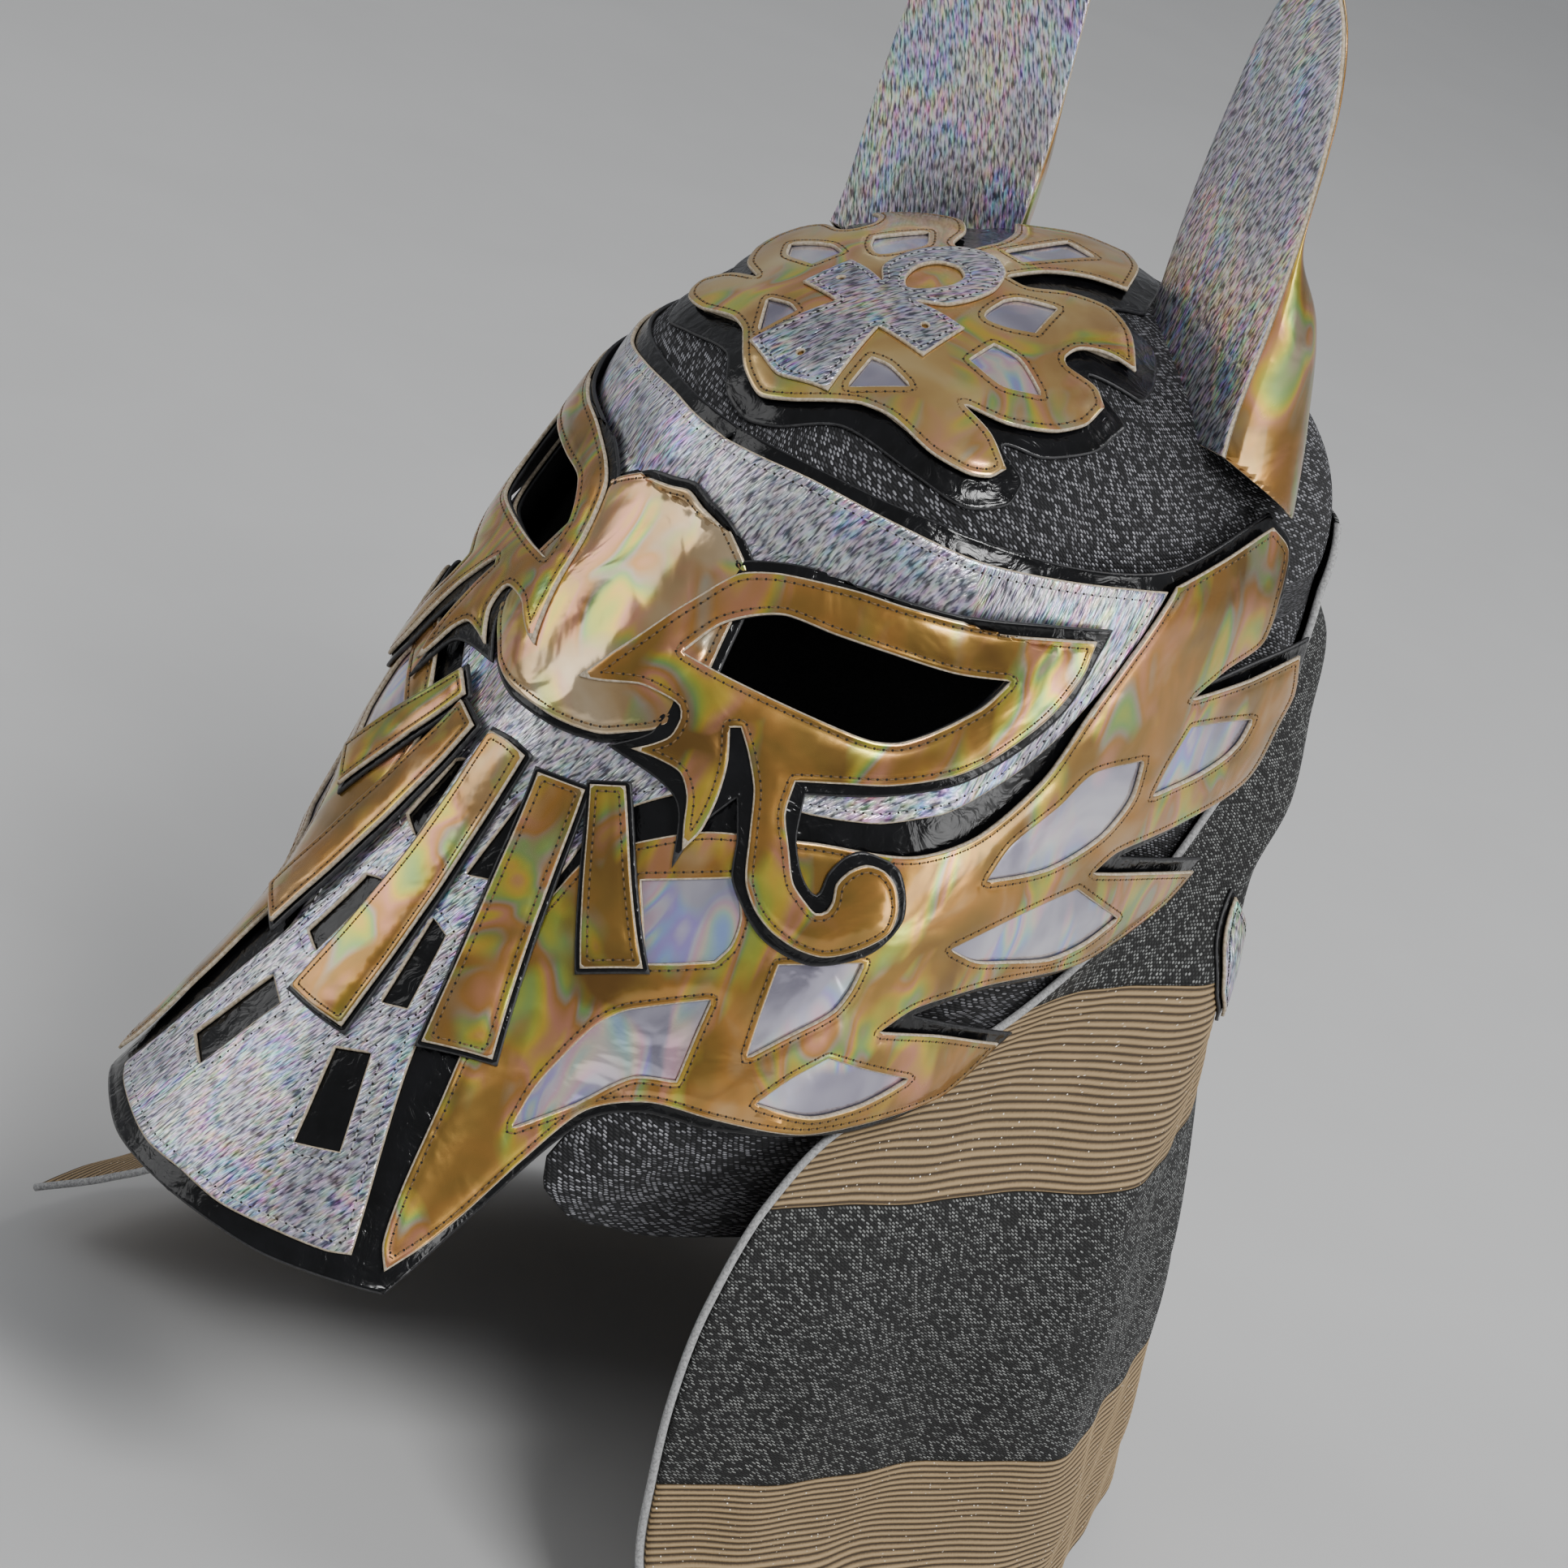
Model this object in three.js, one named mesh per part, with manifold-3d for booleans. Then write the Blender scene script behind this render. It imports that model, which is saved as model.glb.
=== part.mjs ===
// Luchador mask: knit hood, vinyl face with stitched-on panels, ears and a striped cape.
// Millimetres, +Z up, the muzzle points to -Y, the wearer's left is +X.
// The origin is the inside of the crown, where the top of a head sits.
import * as THREE from 'three';
import { mergeVertices } from 'three/addons/utils/BufferGeometryUtils.js';
import Module from 'manifold-3d';

const wasm = await Module();
wasm.setup();

// Driving sizes: the tables are drawn for one head girth over the brow and graded to the one made
const HEAD_GIRTH = 580;
const DRAWN_GIRTH = 580;
const GRADE = HEAD_GIRTH / DRAWN_GIRTH;
const GAP = 0.3;
const VINYL = 1.0;
const KNIT = 1.4;
const HOOD_TUCK = 6;
const CAPE_KNIT = 1.2;
const CAPE_INSET = 2.8;
const HEM_Z = graded(-226);
const NECK_TUCK = 9;
const NECK_TUCK_START_Z = graded(-185);
const CAPE_LEAVES_HEAD_Z = graded(-194);
const CROWN_TOP = KNIT;
const DOME_CENTRE_Y = graded(-6.5);
const DOME_LEAN = 0.1;
const NOSE_BORDER = 2;
const BAR_BORDER = 1.2;
const TAB_BORDER = 1.4;
const EYE_HOLE_CLEAR = 1.2;
const EYE_BORDER_CLEAR = 0.5;
const SEAM = 0.05;
const PIPING_RADIUS = 1.05;
const PIPING_STEP = 1.7;
const EAR_BASE_Z = graded(-32);
const THIN_EDGE = 0.4;

// A length, or a table of lengths, from the drawn girth to the one made
function graded(drawn) {
  return Array.isArray(drawn) ? drawn.map(graded) : drawn * GRADE;
}

// One row per level of the head, chin end first: half sections from nose to nape.
const SECTION_COLUMNS = ['z', 'noseY', 'ridgeX', 'ridgeY', 'cornerX', 'cornerY', 'cheekX', 'cheekY',
  'sideX', 'sideY', 'rearX', 'rearY', 'backY'];
const SECTION_ROWS = graded([
  [-249, -227, 50, -205, 62, -181, 74, -117, 76, -19, 54, 52, 68],
  [-232, -214, 45, -195, 55, -171, 75, -113, 76, -17, 54, 53, 70],
  [-194, -185, 32, -177, 53, -152, 82, -105, 78, -13, 56, 56, 74],
  [-157, -162, 22, -158, 56, -136, 82, -90, 80, -5, 58, 63, 81],
  [-124, -147, 17, -141, 59, -119, 82, -75, 81, -1, 60, 69, 87],
  [-99, -135, 17, -133, 61, -104, 81, -63, 81, 1, 62, 73, 90],
  [-79, -123, 18, -120, 61, -93, 81, -54, 80, 3, 62, 75, 92],
  [-62, -113, 20, -110, 60, -84, 80, -47, 79, 4, 61, 74, 91],
]);

// Where the head surface is cut into facets: steps round a half, and steps up.
const ROUND_STEPS = [0, 1, 2, 2.5, 3, 3.7, 4.3, 4.8, 5.4, 6];
const LOW_STEPS = [0, 1, 2, 3, 4, 5.4, 7];
const DOME_STEPS = [0.27, 0.54, 0.8];

// The cape, top first: where its front edge lies round the head, the share of its width that
// lies flat on the hood, how far the edge and the sides stand out, and the depth of its folds.
const CAPE_COLUMNS = ['z', 'edge', 'flat', 'edgeOut', 'sideOut', 'wave'];
const CAPE_ROWS = [
  [-46, 5.0, 0.25, 0, 0, 0],
  [-62, 4.9, 0.15, 0, 3, 0],
  [-80, 4.86, 0, 0, 13, 0],
  [-104, 4.78, 0, 0, 19, 0.5],
  [-126, 4.6, 0, 0, 22, 1],
  [-148, 4.35, 0.05, 0, 20, 1],
  [-169, 3.9, 0.1, 0, 25, 1.5],
  [-190, 3.34, 0.1, 0, 31, 2],
  [-210, 3.05, 0, 4, 34, 2.5],
  [-234, 2.9, 0, 9, 39, 3],
  [-258, 2.86, 0, 12, 43, 3.5],
  [-282, 2.87, 0, 15, 46, 4],
  [-303, 2.9, 0, 18, 49, 4],
  [-318, 2.9, 0, 34, 50, 4],
  [-332, 2.9, 0, 54, 52, 4],
].map(([z, edge, flat, ...outs]) => [graded(z), edge, flat, ...graded(outs)]);
const CAPE_BANDS = [
  { name: 'cape_black_top', from: 0, to: 6, color: 0x1c1c1e },
  { name: 'cape_brown_upper', from: 6, to: 8, color: 0x7a5a30 },
  { name: 'cape_black_lower', from: 8, to: 11, color: 0x1c1c1e },
  { name: 'cape_brown_hem', from: 11, to: 14, color: 0x7a5a30 },
];
const CAPE_COLS = 9;
const CAPE_WAVES = 3;

// An ear, base first: the inner and outer edge of the silver front, and the depth behind it.
const EAR_COLUMNS = ['z', 'innerX', 'innerY', 'outerX', 'outerY', 'depth'];
const EAR_ROWS = graded([
  [-34, 25, 8, 72, -12, 35],
  [-12, 24, 6, 68, -11.5, 33],
  [16, 23, 5, 68, -12, 23],
  [38, 23.5, 4, 67.5, -12.5, 4],
  [58, 25, 3, 66, -13, 2.5],
  [73, 26.5, 2.5, 63.5, -13, 2.5],
  [88, 31, 0, 57, -11.5, 2.3],
  [99, 36, -2, 44, -5.5, 2],
]);
const EAR_BACK_STEPS = 6;

// Planes that the panels are drawn on and cut along: the way each one faces.
const SIDE_PLANE = { azimuth: 50, elevation: 10 };
const TOP_PLANE = { azimuth: 0, elevation: 60 };
const FRONT_PLANE = { azimuth: 0, elevation: 30 };
const REAR_PLANE = { azimuth: 118, elevation: 0 };

// Half outlines, drawn on the side plane (mm to the right, mm up).
const FACE_BASE = graded([
  [-84, -52.5], [-44, -57.5], [-2.5, -60], [27, -56.5], [57, -41.5], [66.5, -49], [67, -72],
  [46, -86.5], [86, -73], [86, -94], [80.5, -114], [61, -125.5], [44, -132.5], [79, -137],
  [67.5, -151.5], [46, -163.5], [11.5, -169.5], [-4, -175.5], [31, -182.5], [12.5, -201],
  [-10.5, -207.5], [-47.5, -210], [-64, -209.5], [-76.5, -214.5], [-100, -244.5], [-114.5, -262],
  [-143, -261.5], [-166, -257], [-190, -257], [-190, -200], [-130, -120], [-110, -52.5],
]);
const FRONT_PANEL = graded([
  [-81.5, -56], [-44.5, -61], [-2.5, -63.5], [26, -61.5], [19, -81], [9, -100.5], [-6.5, -118],
  [-19.5, -125.5], [-32, -129.5], [-46, -131], [-72.5, -134.5], [-85, -143], [-96, -160],
  [-111.5, -194], [-119, -206.5], [-123.5, -255.5], [-143, -256], [-164.5, -252], [-190, -252],
  [-190, -200], [-130, -120], [-110, -56],
]);
const CHEEK = graded([
  [-115.8, -257.1], [-117.3, -249], [-112.5, -221], [-105, -188], [-96.4, -165.7], [-83, -150.5],
  [-66.3, -141.3], [-44, -136.7], [-19.8, -134.5], [-4.5, -127.2], [9.5, -111.2], [15.9, -94.7],
  [28.6, -60.1], [56.1, -45], [63, -51], [63.6, -73], [44.4, -87.6], [80.1, -76.7],
  [82.5, -92], [77.8, -111.3], [59.5, -122.3], [33.5, -135.2], [73.4, -138.7], [64, -149.5],
  [44.6, -160.5], [10.8, -166.4], [-14.4, -178.9], [24, -183.2], [11.5, -197.8], [-10.9, -204],
  [-26, -207.1], [-47.4, -206.7], [-63.8, -206.1], [-78.1, -211.7], [-102, -241.5],
]);
const CHEEK_BACKING = graded([
  [-99, -226], [-92, -196], [-86, -178], [-82, -153], [-44, -140], [-18, -138], [0, -131],
  [16, -108], [40, -93], [72, -88], [66, -112], [36, -130], [34, -137], [53, -146],
  [42, -158], [8, -164], [-17, -176], [-16, -181], [2, -187], [-8, -200], [-26, -204.5],
  [-58, -203], [-80, -213],
]);
const CHEEK_WINDOWS = graded([
  [[-78.6, -157], [-59.3, -149.6], [-55.8, -160], [-58.7, -169.2], [-73.7, -174.2]],
  [[-94.8, -219.5], [-89, -204], [-79, -188.5], [-57, -178.3], [-59.3, -199.4], [-69.3, -201],
    [-80.9, -210.5]],
  [[-43.9, -166.5], [-24.4, -161.8], [-27.5, -174], [-44.7, -190.1]],
  [[-39.3, -200.8], [-25.3, -187], [-1.3, -191.5], [-11, -198.3], [-24.4, -202.2]],
  [[1.2, -137.9], [6, -126.5], [20, -109.5], [35.5, -104.1], [34.5, -121], [18.2, -133.9]],
  [[-2.5, -156], [30.1, -140.6], [47.5, -149.3], [31, -158.5], [15.4, -159.5]],
  [[43.8, -114.1], [47.7, -95.3], [70.1, -93.8], [61, -107]],
]);
const EYE = graded([
  [-100.7, -117.9], [-86, -98], [-73.5, -84.3], [-62, -80.7], [-47.2, -79.4], [-24.5, -78.9],
  [8, -74.4], [4.8, -90.4], [-4.1, -102.9], [-15.8, -112.9], [-32, -119.8], [-51.1, -124.5],
  [-50.5, -137], [-46.4, -146.6], [-39.7, -152], [-36.9, -144.3], [-31.3, -138.3],
  [-24.5, -140.5], [-21.2, -149], [-25.8, -156.8], [-37, -162], [-48.6, -158.7],
  [-56.9, -149.3], [-59.4, -129.1], [-65.5, -116.6], [-67.8, -117.3], [-66.3, -131],
  [-71.1, -147.5], [-72.7, -135.3], [-87, -128.6], [-79.7, -122.9], [-80, -116.3],
]);
const EYE_BORDER = graded([
  [-104.2, -118.5], [-88, -96], [-75, -82], [-62.5, -78], [-47.2, -76.8], [-24.5, -76.2],
  [11.8, -71.5], [7.3, -91.5], [-2, -105], [-14, -115.2], [-31, -122.3], [-48.3, -126.6],
  [-48, -136.5], [-44.6, -144.5], [-40.3, -148], [-39, -142.6], [-32, -135.6], [-23, -138],
  [-18.6, -149], [-24, -158.8], [-37, -164.7], [-50.2, -161], [-59.5, -150.3], [-62.5, -132],
  [-68.5, -138], [-72.6, -152], [-75.2, -136.8], [-92.5, -129.8], [-84, -123.4], [-83.5, -118.6],
]);
const EYE_HOLE = graded([
  [-81.8, -105.4], [-72, -94.5], [-61.3, -89.8], [-32.9, -90.7], [-9.4, -89], [-17, -99.5],
  [-29, -108.3], [-41.7, -110.4], [-58.5, -108.7],
]);

// Half outlines, drawn on the top plane, from the centre line outwards.
const CROWN = graded([
  [0, -104.5], [8, -101.5], [18, -92.5], [38, -87.5], [48, -83], [51, -76], [35, -73],
  [47, -64.5], [52, -52], [50.5, -43], [38, -42], [35.5, -35], [45, -26], [36, -15.5],
  [22, -17], [8.5, -29], [11, -15], [20, -2], [10, 12], [0, 18],
]);
const CROWN_BORDER = graded([
  [0, -110], [9, -107.5], [20, -97.5], [39, -93], [51, -89], [56.5, -80], [55, -73],
  [46.5, -71.5], [53.5, -65], [57.5, -52], [55.5, -39], [45, -38], [41, -36.5], [51, -29],
  [47.5, -21], [37, -10.5], [24, -11.5], [25.5, -1], [13, 17], [0, 23],
]);
const CROWN_BACKING = graded([
  [0, -100], [8, -98], [20, -89.5], [44, -84], [30, -73], [47, -58], [45, -44], [33, -42],
  [33, -34], [40, -26], [30, -19], [20, -22], [6, -34], [7, 8], [0, 13],
]);
const CROWN_WINDOWS = graded([
  [[19, -48], [17, -38], [24, -29], [28, -41]],
  [[27, -62.5], [26.5, -54], [42, -55], [36, -61.5]],
  [[14.5, -90], [13, -80.5], [23.5, -79.5]],
]);
const CROWN_BACK_WINDOW = graded([[0, -22], [3.5, -22], [3.5, 2], [0, 2]]);
const ANKH = graded([
  [0, -99.5], [12, -96], [6, -72.5], [19.5, -71.5], [18.5, -57], [5, -60], [12, -49],
  [12, -38], [8, -31.5], [0, -28.5],
]);
const ANKH_HOLE = graded([[0, -57], [3.5, -54], [5.5, -48], [4, -42.5], [0, -40.5]]);

// Half outlines, drawn on the front plane.
const NOSE = graded([
  [0, -107.5], [12, -109], [20, -113.5], [24, -118], [25, -128], [27, -142], [31, -149],
  [24, -159.5], [13, -167], [0, -170],
]);
const CENTRE_BAR = graded([[0, -181], [5, -181], [9, -258.5], [0, -258.5]]);
const INNER_BAR = graded([[9.5, -182], [20.5, -179], [38, -243], [26, -249.5]]);
const OUTER_BAR = graded([[20.6, -177], [28, -172.5], [51, -204.5], [42, -213.5]]);
const SLOTS = graded([
  [[10, -263], [18, -259], [26.5, -281.5], [17, -286.5]],
  [[9, -225], [14, -226.5], [18, -245.5], [12, -248]],
  [[9.5, -190], [13, -192], [15.5, -209], [9, -212]],
]);
const HOOD_OPENING = graded([[0, -108], [42, -108], [60, -128], [64, -180], [64, -360], [0, -360]]);

// The nape tab, drawn on the rear plane about its own centre.
const TAB = graded([[0, 16], [5, 8], [9, -1], [10, -8], [6.5, -14], [0, -16.5], [-6.5, -14],
  [-10, -8], [-9, -1], [-5, 8]]);
const TAB_CENTRE = graded([24, -165]);

// Small helpers
function record(columns, row) {
  return Object.fromEntries(columns.map((name, i) => [name, row[i]]));
}

function spline(p, q, r, s, t) {
  return 0.5 * (2 * q + (r - p) * t + (2 * p - 5 * q + 4 * r - s) * t * t
    + (3 * q - p - 3 * r + s) * t * t * t);
}

function through(rows, t) {
  const last = rows.length - 1;
  const i = Math.min(Math.max(Math.floor(t), 0), last - 1);
  const beyond = (a, b) => a.map((value, k) => 2 * value - b[k]);
  const before = i > 0 ? rows[i - 1] : beyond(rows[0], rows[1]);
  const after = i < last - 1 ? rows[i + 2] : beyond(rows[last], rows[last - 1]);
  return rows[i].map((value, k) => spline(before[k], value, rows[i + 1][k], after[k], t - i));
}

// A point of one half section: round runs from 0 at the nose to 6 at the nape.
function onSection(row, round) {
  const s = record(SECTION_COLUMNS, row);
  const points = [[-s.ridgeX, s.ridgeY], [0, s.noseY], [s.ridgeX, s.ridgeY], [s.cornerX, s.cornerY],
    [s.cheekX, s.cheekY], [s.sideX, s.sideY], [s.rearX, s.rearY], [0, s.backY], [-s.rearX, s.rearY]];
  return through(points, round + 1);
}

// The head surface that every panel follows: up runs 0 to 7 on the table, 7 to 8 over the dome.
function headPoint(round, up) {
  const row = through(SECTION_ROWS, Math.min(up, 7));
  const [x, y] = onSection(row, round);
  if (up <= 7) return new THREE.Vector3(x, y, row[0]);
  const angle = (up - 7) * Math.PI / 2;
  const rise = (CROWN_TOP - row[0]) * Math.sin(angle);
  const shrink = Math.cos(angle);
  return new THREE.Vector3(x * shrink,
    DOME_CENTRE_Y + (y - DOME_CENTRE_Y) * shrink + DOME_LEAN * rise, row[0] + rise);
}

function headNormal(round, up) {
  const d = 0.02;
  const towardsNose = headPoint(Math.max(round - d, 0.001), up);
  const across = headPoint(Math.min(round + d, 5.999), up).sub(towardsNose);
  const lower = headPoint(round, Math.max(up - d, 0));
  const along = headPoint(round, Math.min(up + d, 7.99)).sub(lower);
  return across.cross(along).normalize();
}

// A point off the head surface: a negative round lies on the wearer's right.
function offHead(round, up, off) {
  const r = Math.abs(round);
  const point = headPoint(r, up).addScaledVector(headNormal(r, up), off);
  if (r === 0 || r === 6) point.x = 0;
  if (round < 0) point.x = -point.x;
  return point;
}

function meshOf(points, faces) {
  const geometry = new THREE.BufferGeometry();
  const numbers = points.flatMap((p) => [p.x, p.y, p.z]);
  geometry.setAttribute('position', new THREE.Float32BufferAttribute(numbers, 3));
  geometry.setIndex(faces.flat());
  return geometry;
}

function welded(source) {
  const bare = source.clone();
  bare.deleteAttribute('normal');
  bare.deleteAttribute('uv');
  return mergeVertices(bare, 1e-4);
}

function solidOf(geometry) {
  return new wasm.Manifold(new wasm.Mesh({
    numProp: 3,
    vertProperties: new Float32Array(geometry.attributes.position.array),
    triVerts: new Uint32Array(geometry.index.array),
  }));
}

function geometryOf(solid) {
  const mesh = solid.getMesh();
  const geometry = new THREE.BufferGeometry();
  geometry.setAttribute('position', new THREE.BufferAttribute(new Float32Array(mesh.vertProperties), 3));
  geometry.setIndex(new THREE.BufferAttribute(new Uint32Array(mesh.triVerts), 1));
  return geometry;
}

function mirrored(solid) {
  const geometry = geometryOf(solid);
  geometry.scale(-1, 1, 1);
  const index = geometry.index.array;
  for (let i = 0; i < index.length; i += 3) {
    [index[i], index[i + 1]] = [index[i + 1], index[i]];
  }
  return solidOf(geometry);
}

// A closed wall between two sheets of the same grid; rings close round, the top is one point.
function wall(outer, inner, apexOut, apexIn) {
  const cols = outer[0].length;
  const points = [...outer.flat(), ...inner.flat(), apexOut, apexIn];
  const at = (sheet, i, j) => sheet * outer.length * cols + i * cols + ((j + cols) % cols);
  const topOut = points.length - 2;
  const topIn = points.length - 1;
  const faces = [];
  for (let j = 0; j < cols; j++) {
    for (let i = 0; i < outer.length - 1; i++) {
      for (const sheet of [0, 1]) {
        const low = [at(sheet, i, j), at(sheet, i, j + 1)];
        const high = [at(sheet, i + 1, j + 1), at(sheet, i + 1, j)];
        const [a, b, c, d] = j < cols / 2 ? [...low, ...high] : [low[1], ...high, low[0]];
        if (sheet === 0) faces.push([a, b, c], [a, c, d]);
        else faces.push([a, c, b], [a, d, c]);
      }
    }
    const last = outer.length - 1;
    faces.push([at(0, last, j), at(0, last, j + 1), topOut]);
    faces.push([at(1, last, j), topIn, at(1, last, j + 1)]);
    faces.push([at(0, 0, j), at(1, 0, j + 1), at(0, 0, j + 1)]);
    faces.push([at(0, 0, j), at(1, 0, j), at(1, 0, j + 1)]);
  }
  return solidOf(meshOf(points, faces));
}

const AROUND = [...ROUND_STEPS, ...ROUND_STEPS.slice(1, -1).reverse().map((r) => -r)];

function headShell(innerOff, outerOff, ups) {
  const sheet = (off) => ups.map((up) => AROUND.map((r) => offHead(r, up, off(r, up))));
  const apex = (off) => headPoint(0, 8).add(new THREE.Vector3(0, 0, off(0, 8)));
  return wall(sheet(outerOff), sheet(innerOff), apex(outerOff), apex(innerOff));
}

const UPS = [...LOW_STEPS, ...DOME_STEPS.map((t) => 7 + t)];
const layers = {};
function layer(level) {
  const inner = GAP + (level - 1) * (VINYL + GAP);
  layers[level] ??= headShell(() => inner, () => inner + VINYL, UPS);
  return layers[level];
}

function planeAxes(plane) {
  const a = THREE.MathUtils.degToRad(plane.azimuth);
  const e = THREE.MathUtils.degToRad(plane.elevation);
  const facing = new THREE.Vector3(Math.sin(a) * Math.cos(e), -Math.cos(a) * Math.cos(e), Math.sin(e));
  const right = new THREE.Vector3(Math.cos(a), Math.sin(a), 0);
  return { right, up: facing.clone().cross(right), facing };
}

// A cutter: an outline on a plane, swept the way the plane faces.
function cutter(plane, outline, from = 8, to = 300) {
  const shape = new THREE.Shape(outline.map(([x, y]) => new THREE.Vector2(x, y)));
  const sweep = { depth: to - from, bevelEnabled: false, steps: 1 };
  const geometry = welded(new THREE.ExtrudeGeometry(shape, sweep));
  geometry.translate(0, 0, from);
  const { right, up, facing } = planeAxes(plane);
  geometry.applyMatrix4(new THREE.Matrix4().makeBasis(right, up, facing));
  return solidOf(geometry);
}

function signedArea(outline) {
  return outline.reduce((sum, [x, y], i) => {
    const [nx, ny] = outline[(i + 1) % outline.length];
    return sum + (x * ny - nx * y) / 2;
  }, 0);
}

// An outline made wider all round by moving each of its sides outwards.
function grown(outline, by) {
  const turn = Math.sign(signedArea(outline));
  const count = outline.length;
  const normal = (i) => {
    const [x, y] = outline[(i + count) % count];
    const [nx, ny] = outline[(i + 1) % count];
    const length = Math.hypot(nx - x, ny - y);
    return [turn * (ny - y) / length, -turn * (nx - x) / length];
  };
  return outline.map(([x, y], i) => {
    const sum = normal(i - 1).map((value, k) => value + normal(i)[k]);
    const reach = by / Math.max((sum[0] ** 2 + sum[1] ** 2) / 2, 0.7);
    return [x + sum[0] * reach, y + sum[1] * reach];
  });
}

function halfSpace(side) {
  const box = welded(new THREE.BoxGeometry(400, 900, 900));
  box.translate(side * (200 - SEAM), 0, -100);
  return solidOf(box);
}

function below(z) {
  const box = welded(new THREE.BoxGeometry(900, 900, 900));
  box.translate(0, 0, z - 450);
  return solidOf(box);
}

// A piece that crosses the middle: the near half, and its mirror image joined on.
function bothHalves(solid) {
  const half = solid.intersect(halfSpace(1));
  return half.add(mirrored(half));
}

function pairOf(solid) {
  return solid.add(mirrored(solid));
}

function without(solid, cutters) {
  return cutters.reduce((left, tool) => left.subtract(tool), solid);
}

function wholeOutline(half) {
  const inner = half.filter(([x]) => x > 0).map(([x, y]) => [-x, y]).reverse();
  return [...half, ...inner];
}

const group = new THREE.Group();
group.name = 'luchador_mask';
const finishes = {
  knit: { color: 0x1b1b1d, roughness: 0.85 },
  patent: { color: 0x0b0b0c, roughness: 0.3 },
  silver: { color: 0xb9bec6, roughness: 0.35, metalness: 0.7 },
  pearl: { color: 0xd4d3de, roughness: 0.25, metalness: 0.5 },
  gold: { color: 0xb07f35, roughness: 0.3, metalness: 0.7 },
  grey: { color: 0x8d8d8d, roughness: 0.7 },
};

function add(name, solid, finish) {
  const geometry = solid.isBufferGeometry ? solid : geometryOf(solid);
  geometry.computeVertexNormals();
  const mesh = new THREE.Mesh(geometry, new THREE.MeshStandardMaterial(finish));
  mesh.name = name;
  group.add(mesh);
}

function addPair(name, solid, finish) {
  add(`${name}_left`, solid, finish);
  add(`${name}_right`, mirrored(solid), finish);
}

// Knit hood: it dips under the cape at the sides and back, and tucks in below the jaw.
function hoodOff(round, up) {
  const r = Math.abs(round);
  const behindFace = THREE.MathUtils.smoothstep(r, 2.3, 2.8);
  const belowCrown = THREE.MathUtils.smoothstep(7.6 - up, 0, 0.6);
  const tuck = THREE.MathUtils.smoothstep(-headPoint(r, up).z, -NECK_TUCK_START_Z, -HEM_Z);
  return -HOOD_TUCK * behindFace * belowCrown - NECK_TUCK * tuck;
}
const hoodUps = UPS.filter((up) => up >= 1);
const hoodShell = headShell((r, u) => hoodOff(r, u) - KNIT, hoodOff, hoodUps);
const faceOpening = cutter(FRONT_PLANE, wholeOutline(HOOD_OPENING), 5, 400);
add('hood_knit', without(hoodShell, [below(HEM_Z), faceOpening]), finishes.knit);

// Black vinyl face, with the silver front panel and its eye and breathing openings.
const eyeOpening = pairOf(cutter(SIDE_PLANE, EYE_HOLE));
const wideEyeOpening = pairOf(cutter(SIDE_PLANE, grown(EYE_HOLE, EYE_HOLE_CLEAR)));
add('face_base', bothHalves(layer(1).intersect(cutter(SIDE_PLANE, FACE_BASE))).subtract(wideEyeOpening),
  finishes.patent);
const slots = SLOTS.map((outline) => pairOf(cutter(FRONT_PLANE, outline)));
const frontPanel = bothHalves(layer(2).intersect(cutter(SIDE_PLANE, FRONT_PANEL)));
add('front_panel', without(frontPanel, [wideEyeOpening, ...slots]), finishes.silver);

// Cheek panels: a pearl backing under gold vinyl with windows.
addPair('cheek_backing', layer(2).intersect(cutter(SIDE_PLANE, CHEEK_BACKING)), finishes.pearl);
const cheekWindows = CHEEK_WINDOWS.map((outline) => cutter(SIDE_PLANE, outline));
addPair('cheek_panel', without(layer(3).intersect(cutter(SIDE_PLANE, CHEEK)), cheekWindows), finishes.gold);

// Nose, eye surrounds and the five bars, each over a black border.
const eyeBorderClear = pairOf(cutter(SIDE_PLANE, grown(EYE_BORDER, EYE_BORDER_CLEAR)));
const noseOutline = wholeOutline(NOSE);
add('nose_border', layer(3).intersect(cutter(FRONT_PLANE, grown(noseOutline, NOSE_BORDER))), finishes.patent);
const nosePanel = layer(4).intersect(cutter(FRONT_PLANE, noseOutline));
add('nose_panel', nosePanel.subtract(eyeBorderClear), finishes.gold);
const eyeBorder = layer(4).intersect(cutter(SIDE_PLANE, EYE_BORDER));
addPair('eye_border', eyeBorder.subtract(eyeOpening), finishes.patent);
const eyeSurround = layer(5).intersect(cutter(SIDE_PLANE, EYE));
addPair('eye_surround', eyeSurround.subtract(eyeOpening), finishes.gold);

const centreBar = wholeOutline(CENTRE_BAR);
const backing = (outline, extra) => cutter(FRONT_PLANE, grown(outline, BAR_BORDER + extra));
const centreClear = backing(centreBar, GAP);
const innerClear = backing(INNER_BAR, GAP);
add('bar_border_centre', layer(3).intersect(backing(centreBar, 0)), finishes.patent);
addPair('bar_border_inner', layer(4).intersect(backing(INNER_BAR, 0)).subtract(centreClear), finishes.patent);
addPair('bar_border_outer', layer(4).intersect(backing(OUTER_BAR, 0)).subtract(innerClear), finishes.patent);
add('bar_centre', layer(4).intersect(cutter(FRONT_PLANE, centreBar)), finishes.gold);
addPair('bar_inner', layer(5).intersect(cutter(FRONT_PLANE, INNER_BAR)), finishes.gold);
addPair('bar_outer', layer(5).intersect(cutter(FRONT_PLANE, OUTER_BAR)), finishes.gold);

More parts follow.
